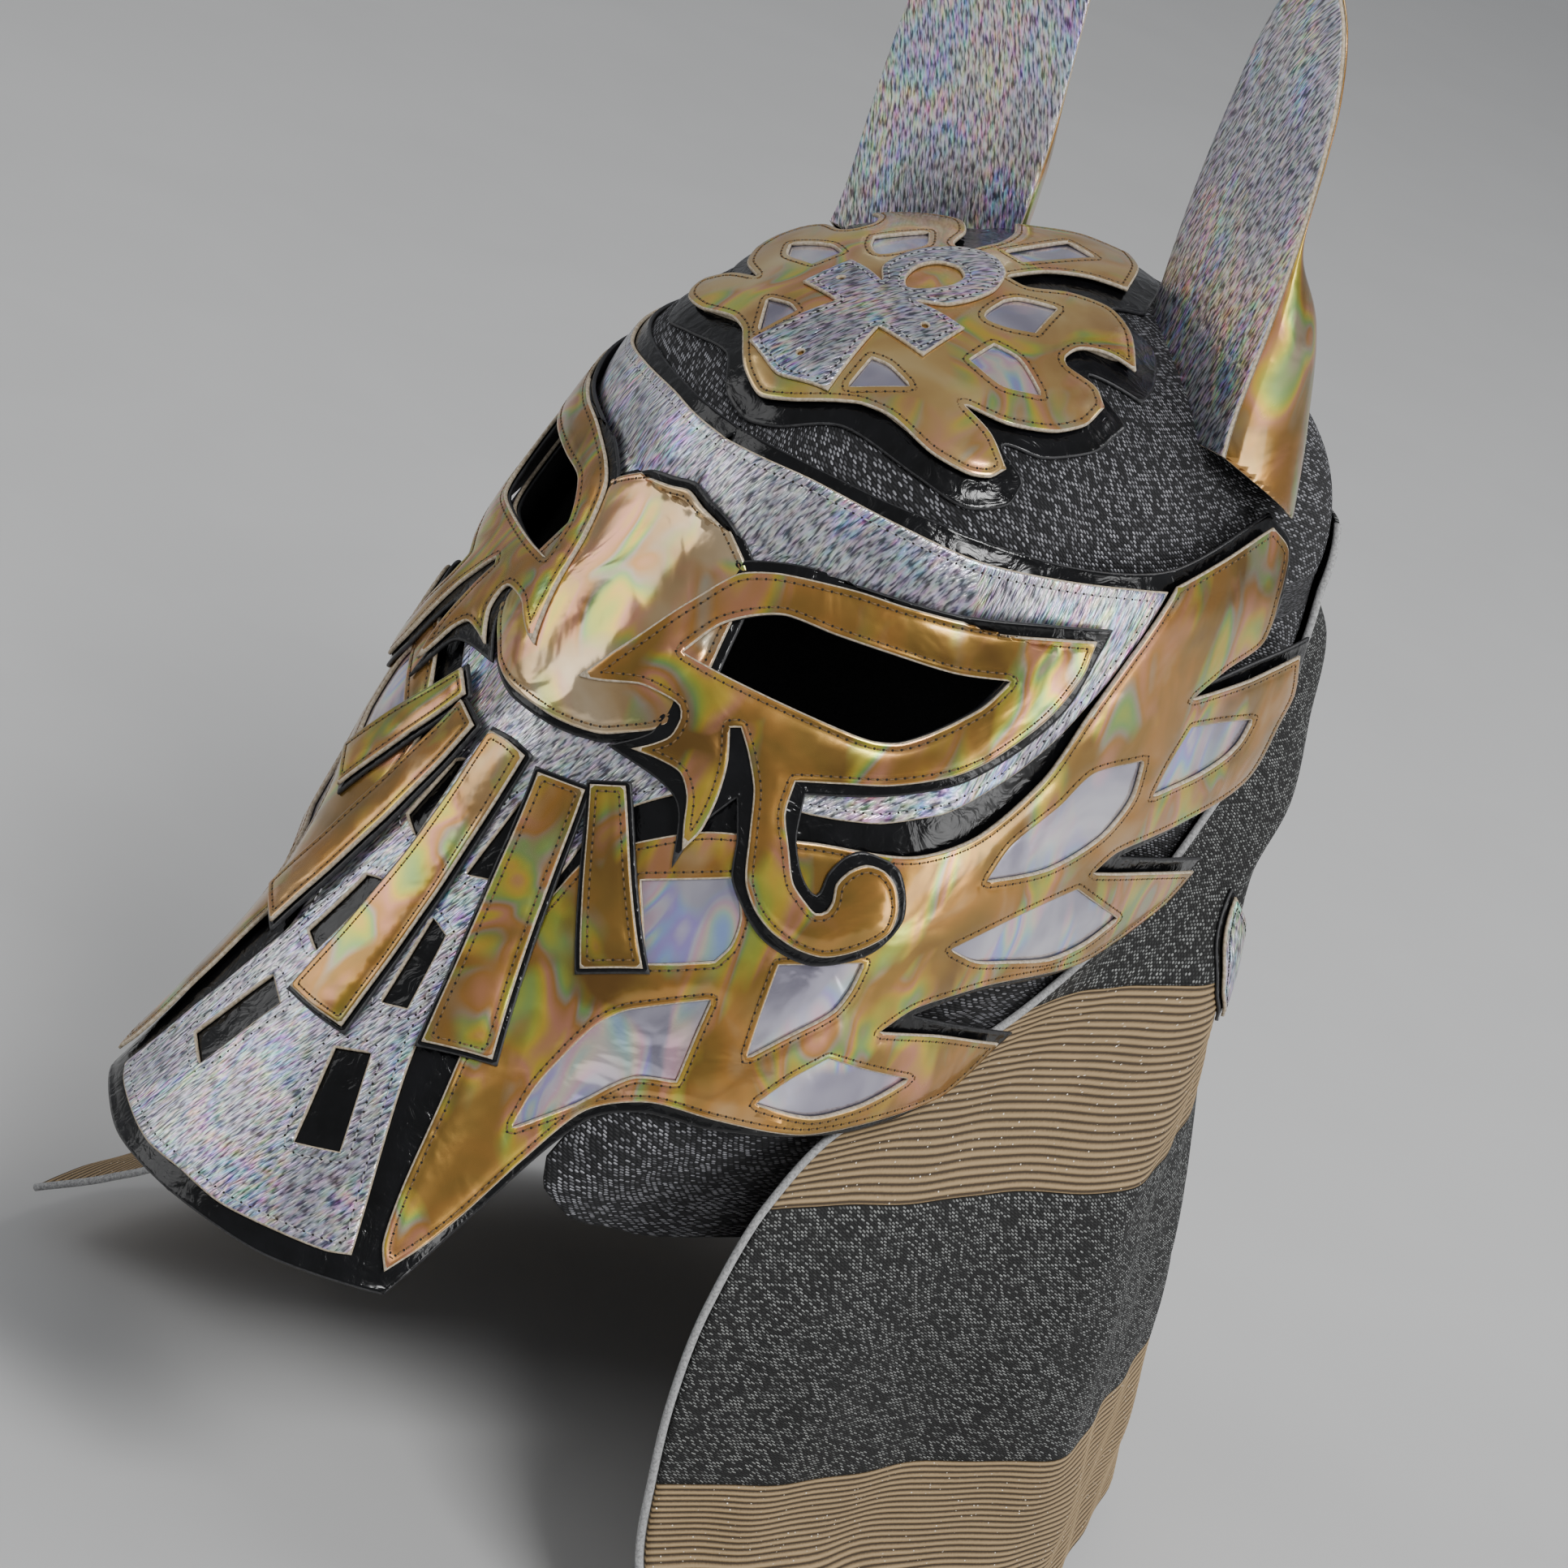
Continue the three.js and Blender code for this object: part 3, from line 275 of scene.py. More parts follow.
class Surface:
    """A grid of points with normals that panels are laid on."""

    def __init__(self, points, normals):
        self.points = points
        self.normals = normals
        rows, cols = points.shape[:2]
        self.cols = cols - 1
        index = np.arange(rows * cols).reshape(rows, cols)
        quads = np.stack([index[:-1, :-1], index[:-1, 1:], index[1:, 1:], index[1:, :-1]], -1)
        self.tree = BVHTree.FromPolygons(points.reshape(-1, 3).tolist(), quads.reshape(-1, 4).tolist())

    def cast(self, plane, flat):
        """Points and normals under the 2-D points of a plane; misses fall on the middle line."""
        right, up, facing = plane
        mirrored = abs(right[1]) < 1e-9
        way = Vector(-facing)
        where = np.zeros((len(flat), 3))
        normal = np.zeros((len(flat), 3))
        missed = np.zeros(len(flat), bool)
        cells = np.zeros(len(flat), int)
        for k, (r, u) in enumerate(flat):
            across = max(abs(r), 0.02) if mirrored else r
            start = right * across + up * u + facing * 400
            hit, _, cell, _ = self.tree.ray_cast(Vector(start), way)
            if hit is None:
                missed[k] = True
                continue
            where[k] = hit
            cells[k] = cell
        i, j = cells // self.cols, cells % self.cols
        corner = self.points[i, j]
        along, down = self.points[i, j + 1] - corner, self.points[i + 1, j] - corner
        fa = np.clip(((where - corner) * along).sum(1) / np.maximum((along ** 2).sum(1), 1e-9), 0, 1)
        fb = np.clip(((where - corner) * down).sum(1) / np.maximum((down ** 2).sum(1), 1e-9), 0, 1)
        fa, fb = fa[:, None], fb[:, None]
        normal = ((1 - fb) * ((1 - fa) * self.normals[i, j] + fa * self.normals[i, j + 1])
                  + fb * ((1 - fa) * self.normals[i + 1, j] + fa * self.normals[i + 1, j + 1]))
        missed |= (normal * facing).sum(1) < 0.02
        if missed.any():
            middle = self.points[:, 0]
            heights = middle @ up
            order = np.argsort(heights)
            at = np.interp(np.asarray(flat)[missed, 1], heights[order], order.astype(float))
            low = np.clip(at.astype(int), 0, len(middle) - 2)
            f = (at - low)[:, None]
            where[missed] = middle[low] * (1 - f) + middle[low + 1] * f
            normal[missed] = self.normals[low, 0] * (1 - f) + self.normals[low + 1, 0] * f
        if mirrored:
            left = np.asarray(flat)[:, 0] < 0
            where[left, 0] *= -1
            normal[left, 0] *= -1
            middle_line = np.abs(np.asarray(flat)[:, 0]) < 1e-6
            where[middle_line, 0] = 0
            normal[middle_line, 0] = 0
        return where, unit(normal), missed


ROUNDS = np.linspace(0, 6, 301)
UPS = np.linspace(0, 8, 401)


def head_grid():
    """The head from its sections, and a dome that closes on its last section."""
    rows = catmull(SECTION_ROWS, np.minimum(UPS, 7))
    z, nose_y, ridge_x, ridge_y, corner_x, corner_y, cheek_x, cheek_y = rows.T[:8]
    side_x, side_y, rear_x, rear_y, back_y = rows.T[8:]
    none = np.zeros_like(z)
    half = np.stack([
        np.stack(pair, -1) for pair in (
            (-ridge_x, ridge_y), (none, nose_y), (ridge_x, ridge_y), (corner_x, corner_y),
            (cheek_x, cheek_y), (side_x, side_y), (rear_x, rear_y), (none, back_y), (-rear_x, rear_y))
    ])
    xy = catmull(half, ROUNDS + 1).transpose(1, 0, 2)
    angle = np.clip(UPS - 7, 0, 1) * math.pi / 2
    rise = ((CROWN_TOP - z) * np.sin(angle))[:, None]
    shrink = np.cos(angle)[:, None]
    points = np.stack([
        xy[..., 0] * shrink,
        DOME_CENTRE_Y + (xy[..., 1] - DOME_CENTRE_Y) * shrink + DOME_LEAN * rise,
        z[:, None] + rise + 0 * xy[..., 0],
    ], -1)
    normals = grid_normals(points)
    normals[-1] = (0, 0, 1)
    normals[-2] = unit(normals[-3] + np.array([0, 0, 1]))
    normals[:, 0, 0] = 0
    normals[:, -1, 0] = 0
    points[:, 0, 0] = 0
    points[:, -1, 0] = 0
    return points, unit(normals)


head = Surface(*head_grid())


def read_grid(grid, around, up):
    """The grid's values at places in its sections, 0 to 6 around and 0 to 8 up."""
    a = np.clip(np.asarray(around, float) / 6 * (len(ROUNDS) - 1), 0, len(ROUNDS) - 1 - 1e-6)
    b = np.clip(np.asarray(up, float) / 8 * (len(UPS) - 1), 0, len(UPS) - 1 - 1e-6)
    i, j = b.astype(int), a.astype(int)
    fb, fa = (b - i)[..., None], (a - j)[..., None]
    return ((grid[i, j] * (1 - fa) + grid[i, j + 1] * fa) * (1 - fb)
            + (grid[i + 1, j] * (1 - fa) + grid[i + 1, j + 1] * fa) * fb)


def up_at(z):
    return np.interp(z, head.points[:, 150, 2], UPS)


def plane(azimuth, elevation):
    """The directions right, up and towards the eye of a view in degrees."""
    a, e = math.radians(azimuth), math.radians(elevation)
    facing = np.array([math.sin(a) * math.cos(e), -math.cos(a) * math.cos(e), math.sin(e)])
    right = np.array([math.cos(a), math.sin(a), 0.0])
    return right, np.cross(facing, right), facing


SIDE, TOP, FRONT, REAR = plane(50, 10), plane(0, 60), plane(0, 30), plane(118, 0)


def swell(p):
    """The soft unevenness that all layers of the worn mask share."""
    x, y, z = np.sqrt(p[..., 0] ** 2 + 30), p[..., 1], p[..., 2]
    return (0.34 * np.sin(x / 9.5 + z / 14) * np.sin(y / 12 - z / 23)
            + 0.12 * np.sin(x / 5.7 - z / 7.1) * np.sin(y / 6.6 + z / 9)
            + 0.25 * np.sin(z / 17 + y / 31))


# Outlines
def signed_area(points):
    x, y = points[:, 0], points[:, 1]
    return 0.5 * np.sum(x * np.roll(y, -1) - np.roll(x, -1) * y)


def smooth(outline, step):
    """A closed outline, curved through its points but sharp at its corners, turning left."""
    pts = np.array([p[:2] for p in outline], float)
    sharp = [len(p) > 2 for p in outline]
    if signed_area(pts) < 0:
        pts, sharp = pts[::-1], sharp[::-1]
    count = len(pts)
    out = []
    for i in range(count):
        p, q, r, s = (pts[(i + k) % count] for k in (-1, 0, 1, 2))
        if sharp[i]:
            p = 2 * q - r
        if sharp[(i + 1) % count]:
            s = 2 * r - q
        length = np.linalg.norm(r - q)
        tangent_q = (r - p) * min(1.0, 1.3 * length / max(np.linalg.norm(r - p), 1e-6))
        tangent_r = (s - q) * min(1.0, 1.3 * length / max(np.linalg.norm(s - q), 1e-6))
        n = max(1, round(length / step))
        for f in np.arange(n) / n:
            a, b = 2 * f ** 3 - 3 * f ** 2 + 1, f ** 3 - 2 * f ** 2 + f
            c, d = -2 * f ** 3 + 3 * f ** 2, f ** 3 - f ** 2
            out.append(a * q + b * tangent_q * 0.62 + c * r + d * tangent_r * 0.62)
    return np.array(out)


def whole(half):
    """A half outline and its mirror image."""
    mirror = [(-p[0], *p[1:]) for p in half if p[0] > 0]
    return list(half) + mirror[::-1]


def grown(outline, by):
    """An outline made wider all round."""
    pts = np.array([p[:2] for p in outline], float)
    turn = np.sign(signed_area(pts))
    side = np.roll(pts, -1, 0) - pts
    normal = turn * unit(np.stack([side[:, 1], -side[:, 0]], -1))
    total = normal + np.roll(normal, 1, 0)
    reach = by / np.maximum((total ** 2).sum(1) / 2, 0.7)
    return [(*q, *p[2:]) for q, p in zip((pts + total * reach[:, None]).tolist(), outline)]


def inside(points, loop):
    """Which points an outline goes round."""
    x, y = points[:, 0, None], points[:, 1, None]
    ax, ay = loop[None, :, 0], loop[None, :, 1]
    bx, by = np.roll(loop, -1, 0)[None, :, 0], np.roll(loop, -1, 0)[None, :, 1]
    crosses = (ay > y) != (by > y)
    slope = np.where(by == ay, 1, by - ay)
    return (crosses & (x < (bx - ax) * (y - ay) / slope + ax)).sum(1) % 2 == 1


def distance(points, loops):
    """How far each point is from the nearest of the outlines."""
    best = np.full(len(points), NEVER)
    for loop in loops:
        a, b = loop, np.roll(loop, -1, 0)
        ab = b - a
        length = np.maximum((ab ** 2).sum(1), 1e-9)
        for start in range(0, len(points), 4000):
            p = points[start:start + 4000, None]
            t = np.clip(((p - a) * ab).sum(2) / length, 0, 1)
            gap = np.sqrt((((a + ab * t[..., None]) - p) ** 2).sum(2)).min(1)
            best[start:start + 4000] = np.minimum(best[start:start + 4000], gap)
    return best


# Meshes
def past_middle(points, middle):
    """How far 2-D points lie to the right of the middle line."""
    return points[:, 0] - np.interp(points[:, 1], middle[:, 1], middle[:, 0])


def make_piece(name, points, faces, materials, node=None, face_slots=None, uv=None):
    mesh = bpy.data.meshes.new(name)
    mesh.from_pydata((np.asarray(points) * MM).tolist(), [], faces)
    for m in materials:
        mesh.materials.append(m)
    if face_slots is not None:
        mesh.polygons.foreach_set("material_index", np.asarray(face_slots, dtype=np.int32))
    if uv is not None:
        layer = mesh.uv_layers.new(name="sewn")
        corners = np.zeros(len(mesh.loops), dtype=np.int32)
        mesh.loops.foreach_get("vertex_index", corners)
        layer.data.foreach_set("uv", np.asarray(uv, float)[corners].ravel())
    mesh.validate(clean_customdata=False)
    mesh.update()
    mesh.shade_smooth()
    obj = bpy.data.objects.new(name, mesh)
    bpy.context.scene.collection.objects.link(obj)
    if node:
        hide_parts(node)
    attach(obj, "root")
    return obj


def triangulate(loops, spacing, middle):
    """Triangles inside the first loop, outside the others and right of the middle line."""
    insets = [EDGE, 0.95, 1.7, 2.6]
    extra = []
    for loop in loops:
        side = np.roll(loop, -1, 0) - np.roll(loop, 1, 0)
        inwards = unit(np.stack([-side[:, 1], side[:, 0]], -1)) * (1 if loop is loops[0] else -1)
        for inset in insets:
            ring = loop + inwards * inset
            extra.append(ring[distance(ring, loops) > 0.97 * inset])
    low, high = loops[0].min(0), loops[0].max(0)
    if middle is not None:
        low[0] = max(low[0], middle[:, 0].min())
    xs = np.arange(low[0], high[0], spacing)
    ys = np.arange(low[1], high[1], spacing * 0.866)
    gx, gy = np.meshgrid(xs, ys)
    gx = gx + (np.arange(len(ys)) % 2)[:, None] * spacing / 2
    field = np.stack([gx.ravel(), gy.ravel()], -1)
    field = field[distance(field, loops) > insets[-1] + spacing * 0.6]
    extra = np.concatenate(extra + [field])

    def kept(points):
        ok = inside(points, loops[0])
        for hole in loops[1:]:
            ok &= ~inside(points, hole)
        if middle is not None:
            ok &= past_middle(points, middle) > 0
        return ok

    extra = extra[kept(extra)]
    if middle is not None:
        extra = extra[past_middle(extra, middle) > 0.5]
    verts, edges = [], []
    for loop in loops:
        start = len(verts)
        verts += loop.tolist()
        edges += [(start + k, start + (k + 1) % len(loop)) for k in range(len(loop))]
    if middle is not None:
        start = len(verts)
        verts += middle.tolist()
        edges += [(start + k, start + k + 1) for k in range(len(middle) - 1)]
    verts += extra.tolist()
    found = delaunay_2d_cdt([Vector(v) for v in verts], edges, [], 0, 1e-4)
    flat = np.array([tuple(v) for v in found[0]])
    tris = np.array([f for f in found[2] if len(f) == 3])
    a, b, c = flat[tris[:, 0]], flat[tris[:, 1]], flat[tris[:, 2]]
    area = (b[:, 0] - a[:, 0]) * (c[:, 1] - a[:, 1]) - (b[:, 1] - a[:, 1]) * (c[:, 0] - a[:, 0])
    tris[area < 0] = tris[area < 0][:, ::-1]
    tris = tris[(np.abs(area) > 1e-5) & kept((a + b + c) / 3)]
    used, tris = np.unique(tris, return_inverse=True)
    return flat[used], tris.reshape(-1, 3)


def middle_line(surface, frame_plane):
    right, up, _ = frame_plane
    line = surface.points[:351, 0]
    flat = np.stack([line @ right, line @ up], -1)[::6]
    return flat[np.argsort(flat[:, 1])]


def thread_line(loops, which, inset, middle):
    """Places along a seam line: 2-D points at an even pitch, half a pitch apart."""
    loop = loops[which]
    side = np.roll(loop, -1, 0) - np.roll(loop, 1, 0)
    inwards = unit(np.stack([-side[:, 1], side[:, 0]], -1)) * (1 if which == 0 else -1)
    ring = loop + inwards * inset
    ring = ring[distance(ring, loops) > 0.93 * inset]
    if len(ring) < 4:
        return np.zeros((0, 2)), np.zeros((0, 2))
    ring = np.concatenate([ring, ring[:1]])
    steps = np.linalg.norm(np.diff(ring, axis=0), axis=1)
    total = np.concatenate([[0], np.cumsum(steps)])
    count = max(4, round(total[-1] / STITCH_PITCH))
    at = np.arange(2 * count) * total[-1] / (2 * count)
    line = np.stack([np.interp(at, total, ring[:, k]) for k in (0, 1)], -1)
    ok = np.interp(at, total[1:], steps) < 4
    if middle is not None:
        ok &= past_middle(line, middle) > MIDDLE_CLEARANCE
    towards = np.roll(line, -1, 0) - np.roll(line, 1, 0)
    return line[ok], unit(towards)[ok]


def stitches(line, towards, surface, frame_plane, height, mirror):
    """Thread on the even places and needle holes on the odd ones."""
    if not len(line):
        return None
    where, normal, missed = surface.cast(frame_plane, line)
    ahead, _, _ = surface.cast(frame_plane, line + towards * 0.6)
    ok = ~missed
    where, normal, ahead, order = where[ok], normal[ok], ahead[ok], np.arange(len(line))[ok]
    along = ahead - where
    along = unit(along - normal * (along * normal).sum(1, keepdims=True))
    side = np.cross(normal, along)
    top = where + normal * (height + swell(where))[:, None]
    points, faces, slots = [], [], []
    angles = np.arange(6) * math.pi / 3

    def put(block, block_faces, slot_index):
        start = sum(len(b) for b in points)
        count = block.shape[1]
        points.append(block.reshape(-1, 3))
        for k in range(block.shape[0]):
            faces.extend([tuple(start + k * count + v for v in f) for f in block_faces])
        slots.extend([slot_index] * (block.shape[0] * len(block_faces)))

    sewn = order % 2 == 0
    t, n, s, c = along[sewn], normal[sewn], side[sewn], top[sewn]
    block = [c - t * STITCH_LENGTH / 2 - n * THREAD_SUNK]
    for share in (-0.32, 0.32):
        for angle in angles:
            block.append(c + t * STITCH_LENGTH * share + s * (THREAD_WIDE * 0.8 * math.cos(angle))
                         + n * (THREAD_RAISED * 0.8 * math.sin(angle) + 0.03))
    block.append(c + t * STITCH_LENGTH / 2 - n * THREAD_SUNK)
    body = []
    for k in range(6):
        m = (k + 1) % 6
        body += [(0, 1 + m, 1 + k), (1 + k, 1 + m, 7 + m, 7 + k), (13, 7 + k, 7 + m)]
    put(np.stack(block, 1), body, 0)
    t, n, s, c = along[~sewn], normal[~sewn], side[~sewn], top[~sewn]
    if len(c):
        disc = [c + t * (HOLE_RADIUS * math.cos(a)) + s * (HOLE_RADIUS * math.sin(a)) + n * 0.035
                for a in angles]
        put(np.stack(disc, 1), [tuple(range(6))], 1)
    points = np.concatenate(points)
    if mirror:
        count = len(points)
        points = np.concatenate([points, points * [-1, 1, 1]])
        faces = faces + [tuple(v + count for v in f[::-1]) for f in faces]
        slots = slots * 2
    return points, faces, slots


def open_sides(faces):
    """The sides that only one face has, in the order of the faces."""
    seen = {(a, b): True for f in faces for a, b in zip(f, f[1:] + f[:1])}
    return [(a, b) for a, b in seen if (b, a) not in seen]


def mirrored(points, faces):
    """The mirror image of a mesh, with its faces turned outwards again."""
    return points * [-1, 1, 1], [f[::-1] for f in faces]


def panel(name, outline, level, frame_plane, top_material, holes=(), seam=(), mirror="pair",
          spacing=2.2, surface=None, puff=0.22, thread=None, seam_inset=1.6):
    """One sewn panel: mirror is pair (left and right pieces), joined (cut at the middle) or none."""
    surface = surface or head
    middle = middle_line(surface, frame_plane) if mirror == "joined" else None
    loops = [smooth(o, OUTLINE_STEP) for o in (outline, *holes)]
    flat, tris = triangulate(loops, spacing, middle)
    where, normal, _ = surface.cast(frame_plane, flat)
    depth = distance(flat, loops)
    inner = GAP + (level - 1) * (VINYL + GAP)
    outer = inner + VINYL
    shape = (-CUT_DROP * np.exp(-(depth / CUT_REACH) ** 2)
             - SEAM_DIP * np.exp(-((depth - seam_inset) / SEAM_REACH) ** 2)
             + puff * (1 - np.exp(-np.maximum(depth - seam_inset, 0) / PUFF_REACH)))
    lift = swell(where)
    top = where + normal * (outer + shape + lift)[:, None]
    bottom = where + normal * (inner + lift)[:, None]
    cut = (depth[tris] < EDGE * 1.08).all(1)
    uv = flat.copy()
    if middle is not None:
        beside = np.maximum(where[:, 1] + 80, 0)
        uv = np.stack([where[:, 0] + 0.9 * beside, 0.78 * where[:, 2] + 0.62 * (where[:, 1] - beside)], -1)
        seamed = np.abs(past_middle(flat, middle)) < 0.02
        top[seamed, 0] = 0
        bottom[seamed, 0] = 0
        count = len(flat)
        other = np.arange(count) + count
        other[seamed] = np.arange(count)[seamed]
        top = np.concatenate([top, top * [-1, 1, 1]])
        bottom = np.concatenate([bottom, bottom * [-1, 1, 1]])
        uv = np.concatenate([uv, uv * [-1, 1]])
        tris = np.concatenate([tris, other[tris][:, ::-1]])
        cut = np.concatenate([cut, cut])
        used, tris = np.unique(tris, return_inverse=True)
        tris = tris.reshape(-1, 3)
        top, bottom, uv = top[used], bottom[used], uv[used]
    count = len(top)
    rim = open_sides(tris.tolist())
    faces = [tuple(t) for t in tris.tolist()]
    slots = [1 if c else 0 for c in cut]
    faces += [(t[2] + count, t[1] + count, t[0] + count) for t in tris.tolist()]
    slots += [2] * len(tris)
    faces += [(b, a, a + count, b + count) for a, b in rim]
    slots += [1] * len(rim)
    points = np.concatenate([top, bottom])
    uv = np.concatenate([uv, uv])
    edge = looks["black_edge"] if top_material is looks["patent"] else looks["cut_edge"]
    materials = [top_material, edge, looks["lining"]]
    sewing = None
    fine = [smooth(o, SEAM_STEP) for o in (outline, *holes)]
    lines = [thread_line(fine, k, seam_inset, middle) for k in seam]
    if lines and thread:
        line = np.concatenate([l[0] for l in lines])
        towards = np.concatenate([l[1] for l in lines])
        sewing = stitches(line, towards, surface, frame_plane, outer - 0.12, middle is not None)
    sides = ["_left", "_right"] if mirror == "pair" else [""]
    for side in sides:
        pts, fcs = mirrored(points, faces) if side == "_right" else (points, faces)
        make_piece(f"skin_{name}{side}", pts, fcs, materials, f"{name}{side}", slots, uv)
        if sewing:
            pts, fcs, marks = sewing
            if side == "_right":
                pts, fcs = mirrored(pts, fcs)
            make_piece(f"thread_{name}{side}", pts, fcs, [thread, looks["needle_hole"]],
                       None, marks)


# Materials
def new_material(name):
    m = bpy.data.materials.new(name)
    m.use_nodes = True
    m.node_tree.nodes.clear()
    out = m.node_tree.nodes.new("ShaderNodeOutputMaterial")
    shader = m.node_tree.nodes.new("ShaderNodeBsdfPrincipled")
    m.node_tree.links.new(shader.outputs[0], out.inputs[0])
    return m, m.node_tree, shader


def connect(tree, socket, value):
    if isinstance(value, bpy.types.NodeSocket):
        tree.links.new(value, socket)
    else:
        socket.default_value = value


def add_node(tree, kind, inputs=None, **settings):
    n = tree.nodes.new("ShaderNode" + kind)
    for key, value in settings.items():
        setattr(n, key, value)
    for key, value in (inputs or {}).items():
        connect(tree, n.inputs[key], value)
    return n


def maths(tree, operation, a, b=0.0, c=0.0):
    n = add_node(tree, "Math", {0: a, 1: b, 2: c}, operation=operation)
    return n.outputs[0]


def ramp(tree, fac, stops):
    n = add_node(tree, "ValToRGB", {0: fac})
    elements = n.color_ramp.elements
    while len(elements) < len(stops):
        elements.new(0.5)
    for element, (place, colour) in zip(elements, stops):
        element.position = place
        element.color = (*colour, 1)
    return n.outputs[0]


def mix(tree, fac, a, b, blend="MIX"):
    n = add_node(tree, "Mix", data_type="RGBA", blend_type=blend)
    connect(tree, n.inputs[0], fac)
    connect(tree, n.inputs[6], a if isinstance(a, bpy.types.NodeSocket) else (*a, 1))
    connect(tree, n.inputs[7], b if isinstance(b, bpy.types.NodeSocket) else (*b, 1))
    return n.outputs[2]


def place(tree, use_uv=False, size=(1, 1, 1), turn=0.0):
    """Coordinates in units of a feature's size in millimetres, from the surface or from space."""
    coords = add_node(tree, "TexCoord")
    by = tuple(v * (1 if use_uv else MM) for v in size)
    inputs = {0: coords.outputs[2 if use_uv else 3], 2: (0, 0, math.radians(turn)), 3: by}
    return add_node(tree, "Mapping", inputs, vector_type="TEXTURE").outputs[0]


def noise(tree, vector, scale=1.0, detail=2.0, rough=0.5, distortion=0.0):
    n = add_node(tree, "TexNoise", {"Vector": vector, "Scale": scale, "Detail": detail,
                                    "Roughness": rough, "Distortion": distortion})
    return n.outputs[0]


def bump(tree, height, strength, reach, normal=None):
    inputs = {"Strength": strength, "Distance": reach * MM, "Height": height}
    if normal is not None:
        inputs["Normal"] = normal
    return add_node(tree, "Bump", inputs).outputs[0]


def wire(tree, shader, **values):
    """Values on the shader's sockets, named with a low line for a space."""
    for key, value in values.items():
        connect(tree, shader.inputs[key.replace("_", " ")], value)


def foil(name, stops, rainbow, share, rough, metallic, crease=0.3, strokes=None):
    """Holographic vinyl: a drifting base colour, rainbow streaks and, on silver, pressed strokes."""
    m, tree, shader = new_material(name)
    space = place(tree)
    colour = ramp(tree, noise(tree, space, 0.03, 3, 0.5, 0.8), stops)
    hue = noise(tree, place(tree, False, (26, 26, 60)), 1.0, 1.5, 0.4, 1.6)
    hue = maths(tree, "FRACT", maths(tree, "MULTIPLY", hue, 4.0))
    patches = ramp(tree, noise(tree, place(tree, False, (24, 24, 38)), 1.0, 2, 0.5, 1.0),
                   [(0.45, (0, 0, 0)), (0.6, (share,) * 3)])
    colour = mix(tree, patches, colour, ramp(tree, hue, rainbow))
    roughness = maths(tree, "MULTIPLY_ADD", noise(tree, space, 0.08, 3, 0.6), 0.14, rough - 0.07)
    normal = bump(tree, noise(tree, space, 0.045, 2.5, 0.45, 0.9), crease, 3.0)
    if strokes:
        marks = noise(tree, place(tree, True, strokes[:2] + (1,), strokes[2]), 1.0, 1.8, 0.55, 0.1)
        flakes = add_node(tree, "TexNoise", {
            "Vector": place(tree, True, (strokes[0] * 1.6, strokes[1] * 1.2, 1), strokes[2]), "Detail": 1.0,
            "Scale": 1.0}).outputs[1]
        flakes = add_node(tree, "HueSaturation", {"Saturation": 1.5, "Value": 1.7, "Color": flakes})
        flakes = flakes.outputs[0]
        colour = mix(tree, maths(tree, "MULTIPLY_ADD", patches, 0.3, 0.17), colour, flakes)
        light = ramp(tree, marks, [(0.37, (0.1, 0.1, 0.12)), (0.46, (0.5, 0.5, 0.53)),
                                   (0.54, (1.0,) * 3), (0.66, (1.3,) * 3)])
        colour = mix(tree, 0.9, colour, light, "MULTIPLY")
        normal = bump(tree, marks, 0.8, 0.5, normal)
    else:
        normal = bump(tree, noise(tree, space, 2.2, 2, 0.6), 0.06, 0.1, normal)
    wire(tree, shader, Base_Color=colour, Roughness=roughness, Normal=normal, Metallic=metallic,
         Coat_Weight=0.4, Coat_Roughness=0.06)
    return m


def patent():
    m, tree, shader = new_material("patent_black")
    space = place(tree)
    colour = ramp(tree, noise(tree, space, 0.12, 3),
                  [(0.3, (0.002, 0.002, 0.002)), (0.7, (0.006, 0.006, 0.007))])
    normal = bump(tree, noise(tree, space, 0.16, 3, 0.5, 1.2), 0.45, 1.4)
    roughness = maths(tree, "MULTIPLY_ADD", noise(tree, space, 0.3, 3), 0.16, 0.1)
    wire(tree, shader, Base_Color=colour, Roughness=roughness, Normal=normal, Specular_IOR_Level=0.28,
         Coat_Weight=0.12, Coat_Roughness=0.05)
    return m


